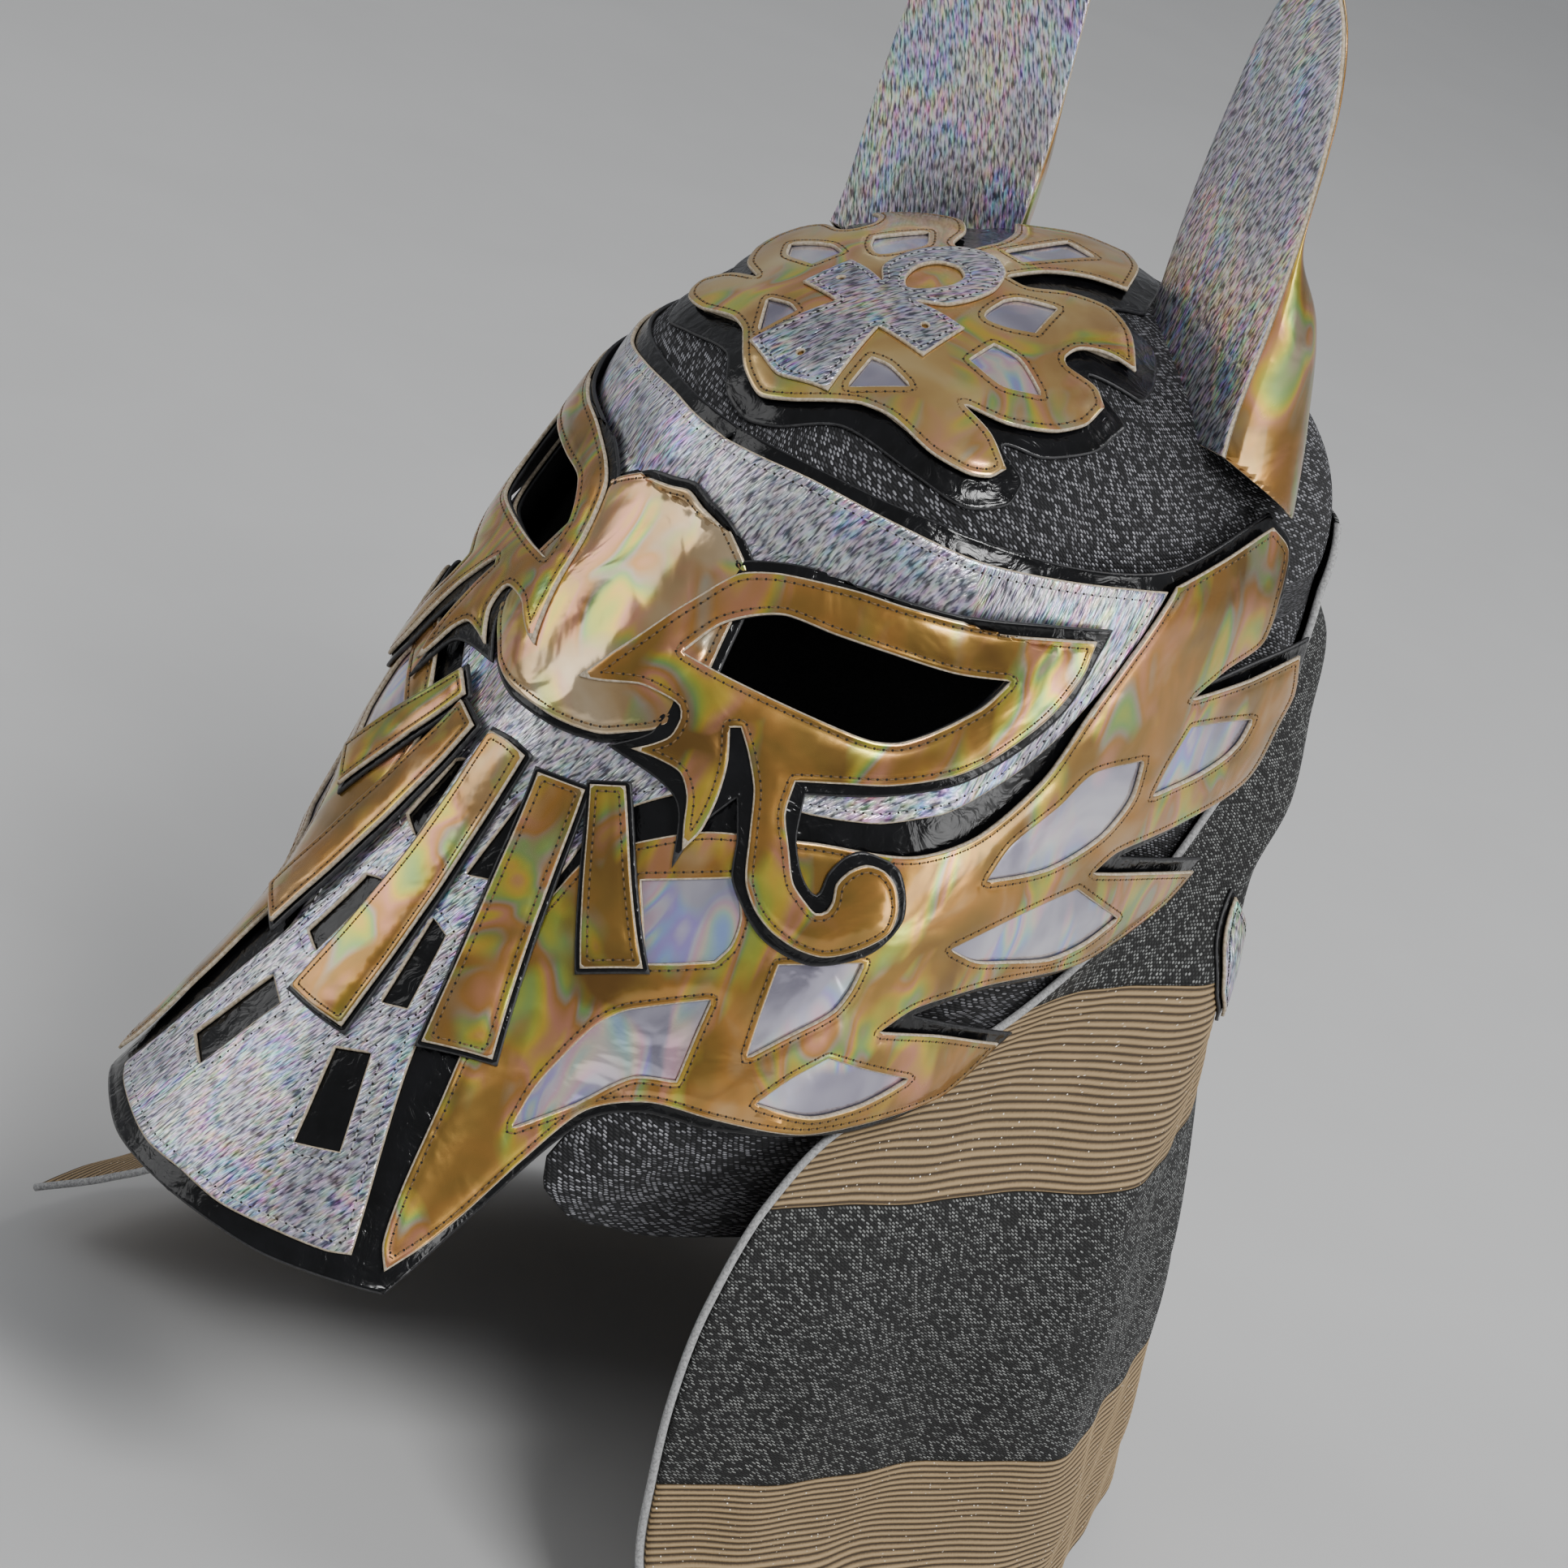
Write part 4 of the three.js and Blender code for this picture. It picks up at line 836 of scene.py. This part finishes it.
def knit(name, wide, tall, lean, ground, glint, share):
    """Rows of small leaning loops of metallic thread on a dark ground."""
    m, tree, shader = new_material(name)
    cells = place(tree, True, (wide, tall, 1))
    wobble = noise(tree, place(tree, True, (9, 7, 1)), 1.0, 2)
    parts = add_node(tree, "SeparateXYZ", {0: cells})
    v = maths(tree, "MULTIPLY_ADD", wobble, 0.8, parts.outputs[1])
    row = maths(tree, "FLOOR", v)
    odd = maths(tree, "FRACT", maths(tree, "MULTIPLY", row, 0.5))
    u = maths(tree, "ADD", maths(tree, "MULTIPLY_ADD", wobble, 0.9, parts.outputs[0]), odd)
    column = maths(tree, "FLOOR", u)
    fu = maths(tree, "SUBTRACT", maths(tree, "FRACT", u), 0.5)
    fv = maths(tree, "SUBTRACT", maths(tree, "FRACT", v), 0.5)
    across = maths(tree, "MULTIPLY", maths(tree, "MULTIPLY_ADD", fv, lean, fu), 2.5)
    along = maths(tree, "MULTIPLY", fv, 1.9)
    reach = maths(tree, "ADD", maths(tree, "MULTIPLY", across, across), maths(tree, "MULTIPLY", along, along))
    loop = maths(tree, "MAXIMUM", maths(tree, "SUBTRACT", 1.0, reach), 0.0)
    cell = add_node(tree, "CombineXYZ", {0: column, 1: row, 2: 0.0}).outputs[0]
    luck = add_node(tree, "TexWhiteNoise", {"Vector": cell}, noise_dimensions="3D").outputs[0]
    bright = maths(tree, "MULTIPLY", ramp(tree, luck, [(1 - share, (0.03,) * 3), (1.0, (1, 1, 1))]),
                   maths(tree, "MINIMUM", maths(tree, "MULTIPLY", loop, 1.8), 1.0))
    wire(tree, shader, Base_Color=mix(tree, bright, ground, glint),
         Metallic=maths(tree, "MULTIPLY", bright, 0.6),
         Roughness=maths(tree, "MULTIPLY_ADD", bright, -0.4, 0.85), Normal=bump(tree, loop, 0.9, 0.45))
    return m


def ribbed(name, pitch, painted_groove_shade, crest, sparkle):
    """Horizontal ribs, their grooves darkened with painted shade, and a few bright points of metallic thread.
    """
    m, tree, shader = new_material(name)
    parts = add_node(tree, "SeparateXYZ", {0: place(tree, True, (pitch, pitch, 1))})
    rib = maths(tree, "ABSOLUTE", maths(tree, "SINE", maths(tree, "MULTIPLY", parts.outputs[1], math.pi)))
    fine = noise(tree, place(tree, True, (0.5, 0.9, 1)), 1.0, 2, 0.6)
    worn = noise(tree, place(tree, False, (14, 14, 14)), 1.0, 3)
    # The rib phase darkens the colour towards each groove: painted shade in the recesses between the ribs,
    # added to the yarn's own fine grain and random tone.
    shade = maths(tree, "ADD", maths(tree, "MULTIPLY_ADD", fine, 0.35, maths(tree, "MULTIPLY", rib, 0.9)),
                  maths(tree, "MULTIPLY_ADD", worn, 0.2, -0.35))
    colour = ramp(tree, shade, [(0.2, painted_groove_shade), (0.8, crest)])
    points = add_node(tree, "TexVoronoi", {"Vector": place(tree, True, (1.1, 0.8, 1)), "Scale": 1.0})
    luck = maths(tree, "GREATER_THAN", add_node(tree, "SeparateXYZ", {0: points.outputs[1]}).outputs[0], 0.84)
    dot = maths(tree, "MULTIPLY", luck, maths(tree, "LESS_THAN", points.outputs[0], 0.17))
    height = maths(tree, "ADD", rib, maths(tree, "MULTIPLY", fine, 0.4))
    wire(tree, shader, Base_Color=mix(tree, dot, colour, sparkle),
         Metallic=maths(tree, "MULTIPLY", dot, 0.7),
         Roughness=maths(tree, "MULTIPLY_ADD", dot, -0.4, 0.8), Normal=bump(tree, height, 0.6, 0.5))
    return m


def plain(name, low, high, rough, scale, weave=0.3):
    """Thread, cut edges, linings and piping: two shades in a fine twisted grain."""
    m, tree, shader = new_material(name)
    space = place(tree)
    grain = noise(tree, space, scale, 3, 0.6, 0.4)
    wire(tree, shader, Base_Color=ramp(tree, grain, [(0.35, low), (0.65, high)]),
         Normal=bump(tree, grain, weave, 0.2),
         Roughness=maths(tree, "MULTIPLY_ADD", grain, 0.2, rough - 0.1))
    return m


RAINBOW = [(0.0, (0.52, 0.24, 0.06)), (0.22, (0.72, 0.3, 0.2)), (0.4, (0.82, 0.56, 0.06)),
           (0.56, (0.5, 0.6, 0.07)), (0.72, (0.22, 0.5, 0.16)), (0.86, (0.4, 0.38, 0.3)),
           (1.0, (0.52, 0.24, 0.06))]
PALE_RAINBOW = [(0.0, (0.74, 0.72, 0.8)), (0.2, (0.92, 0.52, 0.62)), (0.4, (0.9, 0.78, 0.58)),
                (0.55, (0.5, 0.8, 0.66)), (0.72, (0.32, 0.52, 0.98)), (0.86, (0.45, 0.34, 0.88)),
                (1.0, (0.74, 0.72, 0.8))]
looks = {
    "gold": foil("gold_vinyl", [(0.3, (0.2, 0.1, 0.022)), (0.45, (0.3, 0.17, 0.035)),
                                 (0.58, (0.44, 0.21, 0.045)), (0.72, (0.55, 0.35, 0.16))],
                 RAINBOW, 0.68, 0.24, 0.8),
    "tan": foil("tan_vinyl", [(0.3, (0.38, 0.23, 0.1)), (0.5, (0.55, 0.37, 0.18)), (0.7, (0.72, 0.56, 0.36))],
                RAINBOW, 0.7, 0.18, 0.82, crease=0.7),
    "pale_gold": foil("pale_gold_vinyl", [(0.3, (0.46, 0.25, 0.08)), (0.5, (0.64, 0.42, 0.16)),
                                          (0.7, (0.8, 0.64, 0.34))],
                      RAINBOW, 0.75, 0.2, 0.8),
    "silver": foil("silver_vinyl", [(0.3, (0.38, 0.38, 0.47)), (0.5, (0.56, 0.55, 0.62)),
                                    (0.7, (0.84, 0.83, 0.86))],
                   PALE_RAINBOW, 0.95, 0.3, 0.8, strokes=(0.6, 3.2, -17)),
    "pearl": foil("pearl_vinyl", [(0.3, (0.26, 0.24, 0.32)), (0.5, (0.45, 0.43, 0.52)),
                                  (0.7, (0.72, 0.7, 0.76))],
                  PALE_RAINBOW, 0.75, 0.16, 0.75, crease=0.45),
    "patent": patent(),
    "hood": knit("hood_knit_look", 1.3, 1.05, 1.0, (0.002, 0.002, 0.003), (0.4, 0.4, 0.43), 0.62),
    "cape_black": knit("cape_black_look", 1.15, 0.85, 1.3, (0.003, 0.003, 0.003), (0.36, 0.37, 0.36), 0.66),
    # The brown bands get a painted shade colour for the rib grooves and the yarn's own colour for the crests.
    "cape_brown": ribbed("cape_brown_look", RIB_PITCH, (0.05, 0.031, 0.014), (0.35, 0.245, 0.125),
                         (0.9, 0.82, 0.7)),
    "piping": plain("piping_look", (0.2, 0.2, 0.2), (0.42, 0.42, 0.42), 0.75, 1.6, 0.5),
    "cut_edge": plain("cut_edge_look", (0.3, 0.24, 0.16), (0.56, 0.48, 0.37), 0.8, 1.2),
    "lining": plain("lining_look", (0.006, 0.006, 0.007), (0.02, 0.02, 0.022), 0.9, 1.5),
    "black_edge": plain("black_edge_look", (0.008, 0.008, 0.009), (0.03, 0.03, 0.032), 0.5, 1.2),
    "gold_thread": plain("gold_thread_look", (0.08, 0.042, 0.012), (0.22, 0.125, 0.04), 0.6, 2.4, 0.6),
    "grey_thread": plain("grey_thread_look", (0.3, 0.3, 0.31), (0.55, 0.55, 0.56), 0.6, 2.4, 0.6),
    "black_thread": plain("black_thread_look", (0.004, 0.004, 0.005), (0.02, 0.02, 0.02), 0.6, 2.4, 0.6),
    "needle_hole": plain("needle_hole_look", (0.004, 0.003, 0.002), (0.02, 0.015, 0.01), 0.9, 2.0),
}

# Face
thread = looks["gold_thread"]
panel("face_base", FACE_BASE, 1, SIDE, looks["patent"], holes=[grown(EYE_HOLE, 1.2)],
      mirror="joined", spacing=2.6, puff=0.1)


def on_side_plane(outline):
    """An outline of the front plane, as the side plane sees it on the head."""
    where, _, _ = head.cast(FRONT, [p[:2] for p in outline])
    right, up, _ = SIDE
    return [(w @ right, w @ up, *p[2:]) for w, p in zip(where, outline)]


panel("front_panel", FRONT_PANEL, 2, SIDE, looks["silver"],
      holes=[grown(EYE_HOLE, 1.2), *[on_side_plane(slot) for slot in SLOTS]], mirror="joined",
      seam=range(5), thread=looks["grey_thread"], seam_inset=2.3, puff=0.12)
panel("cheek_backing", CHEEK_BACKING, 2, SIDE, looks["pearl"], puff=0.1)
panel("cheek_panel", CHEEK, 3, SIDE, looks["gold"], holes=CHEEK_WINDOWS,
      seam=range(8), thread=thread)
panel("nose_border", grown(whole(NOSE), 2), 3, FRONT, looks["patent"], mirror="none")
panel("nose_panel", whole(NOSE), 4, FRONT, looks["tan"], mirror="none", seam=(0,),
      thread=thread, spacing=1.8)
panel("eye_border", EYE_BORDER, 4, SIDE, looks["patent"], holes=[EYE_HOLE], spacing=1.8)
panel("eye_surround", EYE, 5, SIDE, looks["gold"], holes=[EYE_HOLE], seam=(0, 1),
      thread=thread, spacing=1.8)

# Bars
BARS = [("centre", whole(CENTRE_BAR), 3, "none"), ("inner", INNER_BAR, 4, "pair"),
        ("outer", OUTER_BAR, 4, "pair")]
for label, outline, level, mirror in BARS:
    panel(f"bar_border_{label}", grown(outline, 1.2), level, FRONT, looks["patent"],
          mirror=mirror, spacing=1.8)
    panel(f"bar_{label}", outline, level + 1, FRONT, looks["gold"], mirror=mirror,
          seam=(0,), thread=thread, spacing=1.8)

# Crown
windows = [*CROWN_WINDOWS, *[[(-p[0], *p[1:]) for p in w] for w in CROWN_WINDOWS], whole(CROWN_BACK_WINDOW)]
panel("crown_border", whole(CROWN_BORDER), 1, TOP, looks["patent"], mirror="none")
panel("crown_backing", whole(CROWN_BACKING), 2, TOP, looks["pearl"], mirror="none")
panel("crown_panel", whole(CROWN), 3, TOP, looks["pale_gold"], holes=windows,
      mirror="none", seam=range(8), thread=thread)
rivets = [[(x + 0.9 * math.cos(a), y + 0.9 * math.sin(a)) for a in np.arange(8) * math.pi / 4]
          for x, y in ANKH_RIVETS]
panel("crown_ankh", whole(ANKH), 4, TOP, looks["silver"], holes=[whole(ANKH_HOLE), *rivets],
      mirror="none", seam=(0, 1), thread=looks["grey_thread"], spacing=1.6)


def shell(name, outer, inner, materials, node, uv, keep=None, joined=None):
    """A closed sheet between two grids; keep says which cells are there, joined which rows close."""
    rows, cols = outer.shape[:2]
    cells = np.ones((rows - 1, cols - 1), bool) if keep is None else keep
    index = np.arange(rows * cols).reshape(rows, cols)
    if joined is not None:
        index[joined, -1] = index[joined, 0]
    nxt = index[:, 1:]
    here = index[:, :-1]
    a, b = here[:-1][cells], nxt[:-1][cells]
    c, d = nxt[1:][cells], here[1:][cells]
    quads = np.stack([a, b, c, d], -1)
    rim = open_sides(quads.tolist())
    count = rows * cols
    faces = [tuple(q) for q in quads.tolist()] + [tuple(v + count for v in q[::-1]) for q in quads.tolist()]
    faces += [(q, p, p + count, q + count) for p, q in sorted(rim)]
    slots = [0] * len(quads) + [1] * len(quads) + [2] * len(rim)
    points = np.concatenate([outer.reshape(-1, 3), inner.reshape(-1, 3)])
    flat = np.concatenate([uv.reshape(-1, 2)] * 2)
    used = np.unique(np.array([v for f in faces for v in f]))
    renumber = np.full(2 * count, -1)
    renumber[used] = np.arange(len(used))
    faces = [tuple(int(renumber[v]) for v in f) for f in faces]
    return make_piece(name, points[used], faces, materials, node, slots, flat[used])


def arc_lengths(points, axis):
    step = np.linalg.norm(np.diff(points, axis=axis), axis=-1)
    total = np.cumsum(step, axis=axis)
    pad = [(0, 0), (0, 0)]
    pad[axis] = (1, 0)
    return np.pad(total, pad)


def mirrored_grid(half):
    """A half grid from one edge to the middle, and its mirror image on to the other edge."""
    return np.concatenate([half, (half * [-1, 1, 1])[:, -2::-1]], 1)


# Hood: its face opening starts below the brow, and its hem runs on under the jaw.
HOOD_HEM_Z = -241.0
hood_ups = np.concatenate([np.linspace(up_at(HOOD_HEM_Z), 6.8, 92), np.linspace(6.8, 7.985, 52)[1:]])
hood_z = read_grid(head.points, np.full(len(hood_ups), 3.0), hood_ups)[:, 2]
HOOD_EDGE = np.array([[-241, 3.75], [-238, 3.45], [-232, 2.95], [-223, 2.5], [-213, 2.2], [-205, 2.1],
                      [-180, 2.1], [-165, 2.7], [-66, 2.7], [-57, 0]])
hood_edge = np.interp(hood_z, HOOD_EDGE[:, 0], HOOD_EDGE[:, 1])
hood_share = np.linspace(0, 1, 121)
around = hood_edge[:, None] + (6 - hood_edge[:, None]) * hood_share


def hood_points(extra):
    """The hood, off the head by extra, tucked in behind the face and at the neck."""
    up = hood_ups[:, None] + 0 * around
    point = read_grid(head.points, around, up)
    normal = unit(read_grid(head.normals, around, up))
    dip = smoothstep(around, 2.3, 2.8) * smoothstep(7.6 - up, 0, 0.6) * HOOD_TUCK
    tuck = NECK_TUCK * smoothstep(-point[..., 2], 185, -HEM_Z)
    return mirrored_grid(point + normal * (extra - dip - tuck + swell(point) * 0.8)[..., None])


hood_outer, hood_inner = hood_points(0), hood_points(-KNIT)
hood_uv = np.stack([
    np.concatenate([around * 48, 576 - around[:, -2::-1] * 48], 1),
    arc_lengths(hood_outer, 0)[:, 60:61] + 0 * hood_outer[..., 0],
], -1)
hood = shell("skin_hood_knit", hood_outer, hood_inner, [looks["hood"], looks["lining"], looks["lining"]],
             "hood_knit", hood_uv, joined=hood_edge == 0)


# Cape
def cape_points(rows, t, off):
    """The cape at its rows, from its front edge (t = 0) to its middle (t = 1), off the head by off."""
    z, edge, flat_share, edge_out, side_out, wave = (column[:, None] for column in rows.T)
    t = t[None, :]
    around = np.minimum(edge + (6 - edge) * t, 6)
    up = up_at(np.maximum(z, -194)) + 0 * around
    point = read_grid(head.points, around, up)
    normal = unit(read_grid(head.normals, around, up))
    level = normal * [1, 1, 0]
    level[..., 0] = np.where(around > 5.98, 0, level[..., 0])
    level = unit(level)
    spread = smoothstep(t, flat_share, flat_share + 0.45)
    loose = smoothstep(t, flat_share, flat_share + 0.3)
    fold = wave * loose * np.sin(t * CAPE_WAVES * math.pi * 2)
    down = smoothstep(-z, 90, 300)
    fold = fold + down * (0.9 * np.sin(t * 31 + z / 21) * np.sin(z / 17 + t * 5)
                                    + 0.5 * np.sin(t * 67 - z / 9)) * smoothstep(t, 0.02, 0.1)
    out = edge_out + (side_out - edge_out) * spread + fold
    point = point + normal * off + level * out[..., None]
    point[..., 2] = z
    point[..., 0] = np.where(t >= 1, 0, point[..., 0])
    return point


BANDS = [("cape_black_top", 0, 6, "cape_black", "fine_knit"),
         ("cape_brown_upper", 6, 8, "cape_brown", "ribbed_knit"),
         ("cape_black_lower", 8, 11, "cape_black", "fine_knit"),
         ("cape_brown_hem", 11, 14, "cape_brown", "ribbed_knit")]
for band, first, last, look, slot in BANDS:
    is_ribbed = slot == "ribbed_knit"
    height = CAPE_ROWS[first, 0] - CAPE_ROWS[last, 0]
    count = int(height / (RIB_ROW if is_ribbed else PLAIN_ROW))
    index = np.interp(np.linspace(CAPE_ROWS[first, 0], CAPE_ROWS[last, 0], count)[::-1],
                      CAPE_ROWS[::-1, 0], np.arange(len(CAPE_ROWS))[::-1])[::-1]
    rows = catmull(CAPE_ROWS, index)
    rows[:, 0] = np.interp(index, np.arange(len(CAPE_ROWS)), CAPE_ROWS[:, 0])
    if first:
        rows[0, 0] -= GAP
    t = np.linspace(0, 1, 100)
    rib = 0.0
    if is_ribbed:
        rib = RIB_DEPTH * np.abs(np.sin(math.pi * rows[:, 0] / RIB_PITCH))[:, None, None]
    outer = mirrored_grid(cape_points(rows, t, -CAPE_INSET + rib - (RIB_DEPTH if is_ribbed else 0)))
    inner = mirrored_grid(cape_points(rows, t, -CAPE_INSET - CAPE_KNIT))
    uv = np.stack([arc_lengths(outer, 1), rows[:, 0:1] + 0 * outer[..., 0]], -1)
    shell(f"skin_{band}", outer[::-1], inner[::-1],
                        [looks[look]] * 3, band, uv[::-1])


def tube(path, away, radius, sides):
    """A round bead along a path; away is the direction that starts each ring."""
    towards = unit(np.gradient(path, axis=0))
    away = unit(away - towards * (away * towards).sum(1, keepdims=True))
    third = np.cross(towards, away)
    angles = np.arange(sides) * 2 * math.pi / sides
    rings = (path[:, None] + radius * (np.cos(angles)[None, :, None] * away[:, None]
                                       + np.sin(angles)[None, :, None] * third[:, None]))
    count = len(path)
    faces = []
    for i in range(count - 1):
        for j in range(sides):
            k = (j + 1) % sides
            faces.append((i * sides + j, i * sides + k, (i + 1) * sides + k, (i + 1) * sides + j))
    faces.append(tuple(range(sides))[::-1])
    faces.append(tuple((count - 1) * sides + j for j in range(sides)))
    return rings.reshape(-1, 3), faces


piping_rows = catmull(CAPE_ROWS, np.linspace(0, len(CAPE_ROWS) - 1, 150))
centre_off = -CAPE_INSET - CAPE_KNIT / 2
edge_line = cape_points(piping_rows, np.array([0.0, 0.02]), centre_off)
away = unit(edge_line[:, 0] - edge_line[:, 1])
path = edge_line[:, 0] + away * PIPING_STEP
bead, bead_faces = tube(path, away, PIPING_RADIUS, 12)
for side, (pts, fcs) in (("_left", (bead, bead_faces)), ("_right", mirrored(bead, bead_faces))):
    make_piece(f"skin_cape_piping{side}", pts, fcs, [looks["piping"]], f"cape_piping{side}")

# Nape tabs
cape_t = np.linspace(0, 1, 90)
cape_rows = catmull(CAPE_ROWS, np.linspace(2, 8, 110))
cape_grid = cape_points(cape_rows, cape_t, -CAPE_INSET)
cape_surface = Surface(cape_grid, -grid_normals(cape_grid))
tab = [(p[0] + TAB_CENTRE[0], p[1] + TAB_CENTRE[1], *p[2:]) for p in TAB]
panel("tab_border", grown(tab, 1.4), 1, REAR, looks["patent"], surface=cape_surface)
panel("tab_panel", tab, 2, REAR, looks["silver"], surface=cape_surface, seam=(0,),
      thread=looks["black_thread"], seam_inset=1.5)

# Ears
TIP_ROW = [103, 39.2, -3.3, 41.2, -4.1, 0.8]
ear_table = np.vstack([EAR_ROWS, TIP_ROW])
ear_index = np.linspace(0, len(ear_table) - 1, 120)
ear = catmull(ear_table, ear_index)
ear_inner, ear_outer = ear[:, [1, 2, 0]], ear[:, [3, 4, 0]]
across = ear_outer - ear_inner
backwards = unit(np.stack([-across[:, 1], across[:, 0], 0 * across[:, 0]], -1))


def in_head(points, depth):
    """Which points lie inside the head by more than a depth."""
    out = np.zeros(len(points), bool)
    for k, p in enumerate(points):
        near, _, cell, _ = head.tree.find_nearest(Vector((abs(p[0]), p[1], p[2])))
        i, j = cell // head.cols, cell % head.cols
        gap = np.array((abs(p[0]), p[1], p[2])) - np.array(near)
        out[k] = (gap * head.normals[i, j]).sum() < -depth
    return out


def foot(points):
    """The height of the slanted lower edge of an ear: lower towards the back."""
    return EAR_FOOT_Z - EAR_FOOT_SLOPE * points[..., 1]


def trimmed(points):
    """Points below the ear's foot are lifted on to it."""
    out = points.copy()
    out[..., 2] = np.maximum(points[..., 2], foot(points))
    return out


def ear_piece(name, outer, inner, materials, uv):
    """A left and a right piece of the ears, without the cells that the head hides."""
    outer, inner = trimmed(outer), trimmed(inner)
    flat = outer.reshape(-1, 3)
    sunk = (in_head(flat, 1.0) | (flat[:, 2] < foot(flat) + 0.01)).reshape(outer.shape[:2])
    keep = ~(sunk[:-1, :-1] & sunk[1:, :-1] & sunk[:-1, 1:] & sunk[1:, 1:])
    for side, sign in (("_left", 1), ("_right", -1)):
        o, n, k, w = outer * [sign, 1, 1], inner * [sign, 1, 1], keep, uv
        if sign < 0:
            o, n, k, w = o[:, ::-1], n[:, ::-1], k[:, ::-1], w[:, ::-1]
        shell(f"skin_{name}{side}", o, n, materials, f"{name}{side}", w, k)


share = np.linspace(0, 1, 40)
length = np.linalg.norm(across, axis=1)
bow = 1.4 * np.sin(math.pi * share)[None, :, None] * np.clip(length / 40, 0, 1)[:, None, None]
front = ear_inner[:, None] + across[:, None] * share[None, :, None] - backwards[:, None] * bow
front_back = front + backwards[:, None] * VINYL
ear_uv = np.stack([share[None, :] * length[:, None], ear[:, 0:1] + 0 * share[None, :]], -1)
ear_piece("ear_front", front, front_back, [looks["silver"], looks["lining"], looks["cut_edge"]],
          ear_uv)


def ear_arc(depth, inset):
    """The ear's rounded back: how deep each row is, and how far it starts from the ear's sides."""
    angle = math.pi * share
    place_along = 0.5 - (0.5 - inset / length)[:, None] * np.cos(angle)[None, :]
    behind = VINYL + GAP + depth[:, None] * np.sin(angle)[None, :] ** 0.8
    return (ear_inner[:, None] + across[:, None] * place_along[..., None]
            + backwards[:, None] * behind[..., None])


arc = ear_arc(ear[:, 5], 0 * length)
arc_in = ear_arc(np.maximum(ear[:, 5] - VINYL, 0.3), np.minimum(VINYL, length / 5))
back_uv = np.stack([arc_lengths(arc, 1), ear[:, 0:1] + 0 * share[None, :]], -1)
ear_piece("ear_back", arc[:, ::-1], arc_in[:, ::-1], [looks["gold"], looks["lining"], looks["cut_edge"]],
          back_uv[:, ::-1])

# Camera: the fitted view, turned so that its axis goes through the picture's middle.
AZIMUTH, ELEVATION, ROLL = (math.radians(v) for v in (37.3, 20.3, -19.3))
DISTANCE = 1.1523
TARGET = np.array([0, -0.073, -0.097])
FOCAL_PX, SHIFT_X_PX, SHIFT_Y_PX, IMAGE_PX = 5749.8, -30.6, -192.4, 1932
SENSOR_MM = 36
back = np.array([math.sin(AZIMUTH) * math.cos(ELEVATION), -math.cos(AZIMUTH) * math.cos(ELEVATION),
                 math.sin(ELEVATION)])
level_right = np.array([math.cos(AZIMUTH), math.sin(AZIMUTH), 0])
level_up = np.cross(back, level_right)
view_right = math.cos(ROLL) * level_right - math.sin(ROLL) * level_up
view_up = math.sin(ROLL) * level_right + math.cos(ROLL) * level_up
eye = TARGET + back * DISTANCE
aim = -back - view_right * SHIFT_X_PX / FOCAL_PX + view_up * SHIFT_Y_PX / FOCAL_PX
new_back = unit(-aim)
new_right = unit(view_right - new_back * (view_right @ new_back))
new_up = np.cross(new_back, new_right)
camera = bpy.data.objects.new("camera", bpy.data.cameras.new("camera"))
bpy.context.scene.collection.objects.link(camera)
turn = Matrix(np.stack([new_right, new_up, new_back], 1).tolist()).to_4x4()
camera.matrix_world = Matrix.Translation(Vector(eye)) @ turn
camera.data.sensor_width = SENSOR_MM
camera.data.sensor_fit = "HORIZONTAL"
camera.data.lens = FOCAL_PX * SENSOR_MM / IMAGE_PX
camera.data.clip_end = 50
bpy.context.scene.camera = camera

# Studio
FLOOR_Z = -0.345
floor_mesh = bpy.data.meshes.new("floor")
corners = [(x, y, FLOOR_Z) for x, y in ((-6, -6), (6, -6), (6, 6), (-6, 6))]
floor_mesh.from_pydata(corners, [], [(0, 1, 2, 3)])
floor_look = plain("floor_look", (0.6, 0.6, 0.595), (0.615, 0.615, 0.61), 0.85, 0.01, 0.0)
floor_mesh.materials.append(floor_look)
floor = bpy.data.objects.new("floor", floor_mesh)
bpy.context.scene.collection.objects.link(floor)

world = bpy.data.worlds.new("studio")
bpy.context.scene.world = world
world.use_nodes = True
world.node_tree.nodes["Background"].inputs[0].default_value = (0.82, 0.84, 0.88, 1)
world.node_tree.nodes["Background"].inputs[1].default_value = 0.35


def area_light(name, place_at, aim_at, size, power, colour=(1, 1, 1)):
    data = bpy.data.lights.new(name, "AREA")
    data.shape = "RECTANGLE"
    data.size, data.size_y = size
    data.energy = power
    data.color = colour
    obj = bpy.data.objects.new(name, data)
    bpy.context.scene.collection.objects.link(obj)
    obj.location = place_at
    obj.rotation_euler = (Vector(aim_at) - Vector(place_at)).to_track_quat("-Z", "Y").to_euler()


area_light("key", (1.35, -0.75, 1.35), (0, -0.05, -0.1), (0.6, 0.6), 34)
area_light("fill", (-1.5, -1.3, 0.7), (0, -0.05, -0.1), (1.4, 1.4), 13)
area_light("side", (1.7, 0.6, 0.0), (0.05, 0, -0.1), (0.7, 0.9), 12)
area_light("rim", (0.5, 1.4, 1.3), (0, 0, -0.1), (1.2, 0.6), 14)
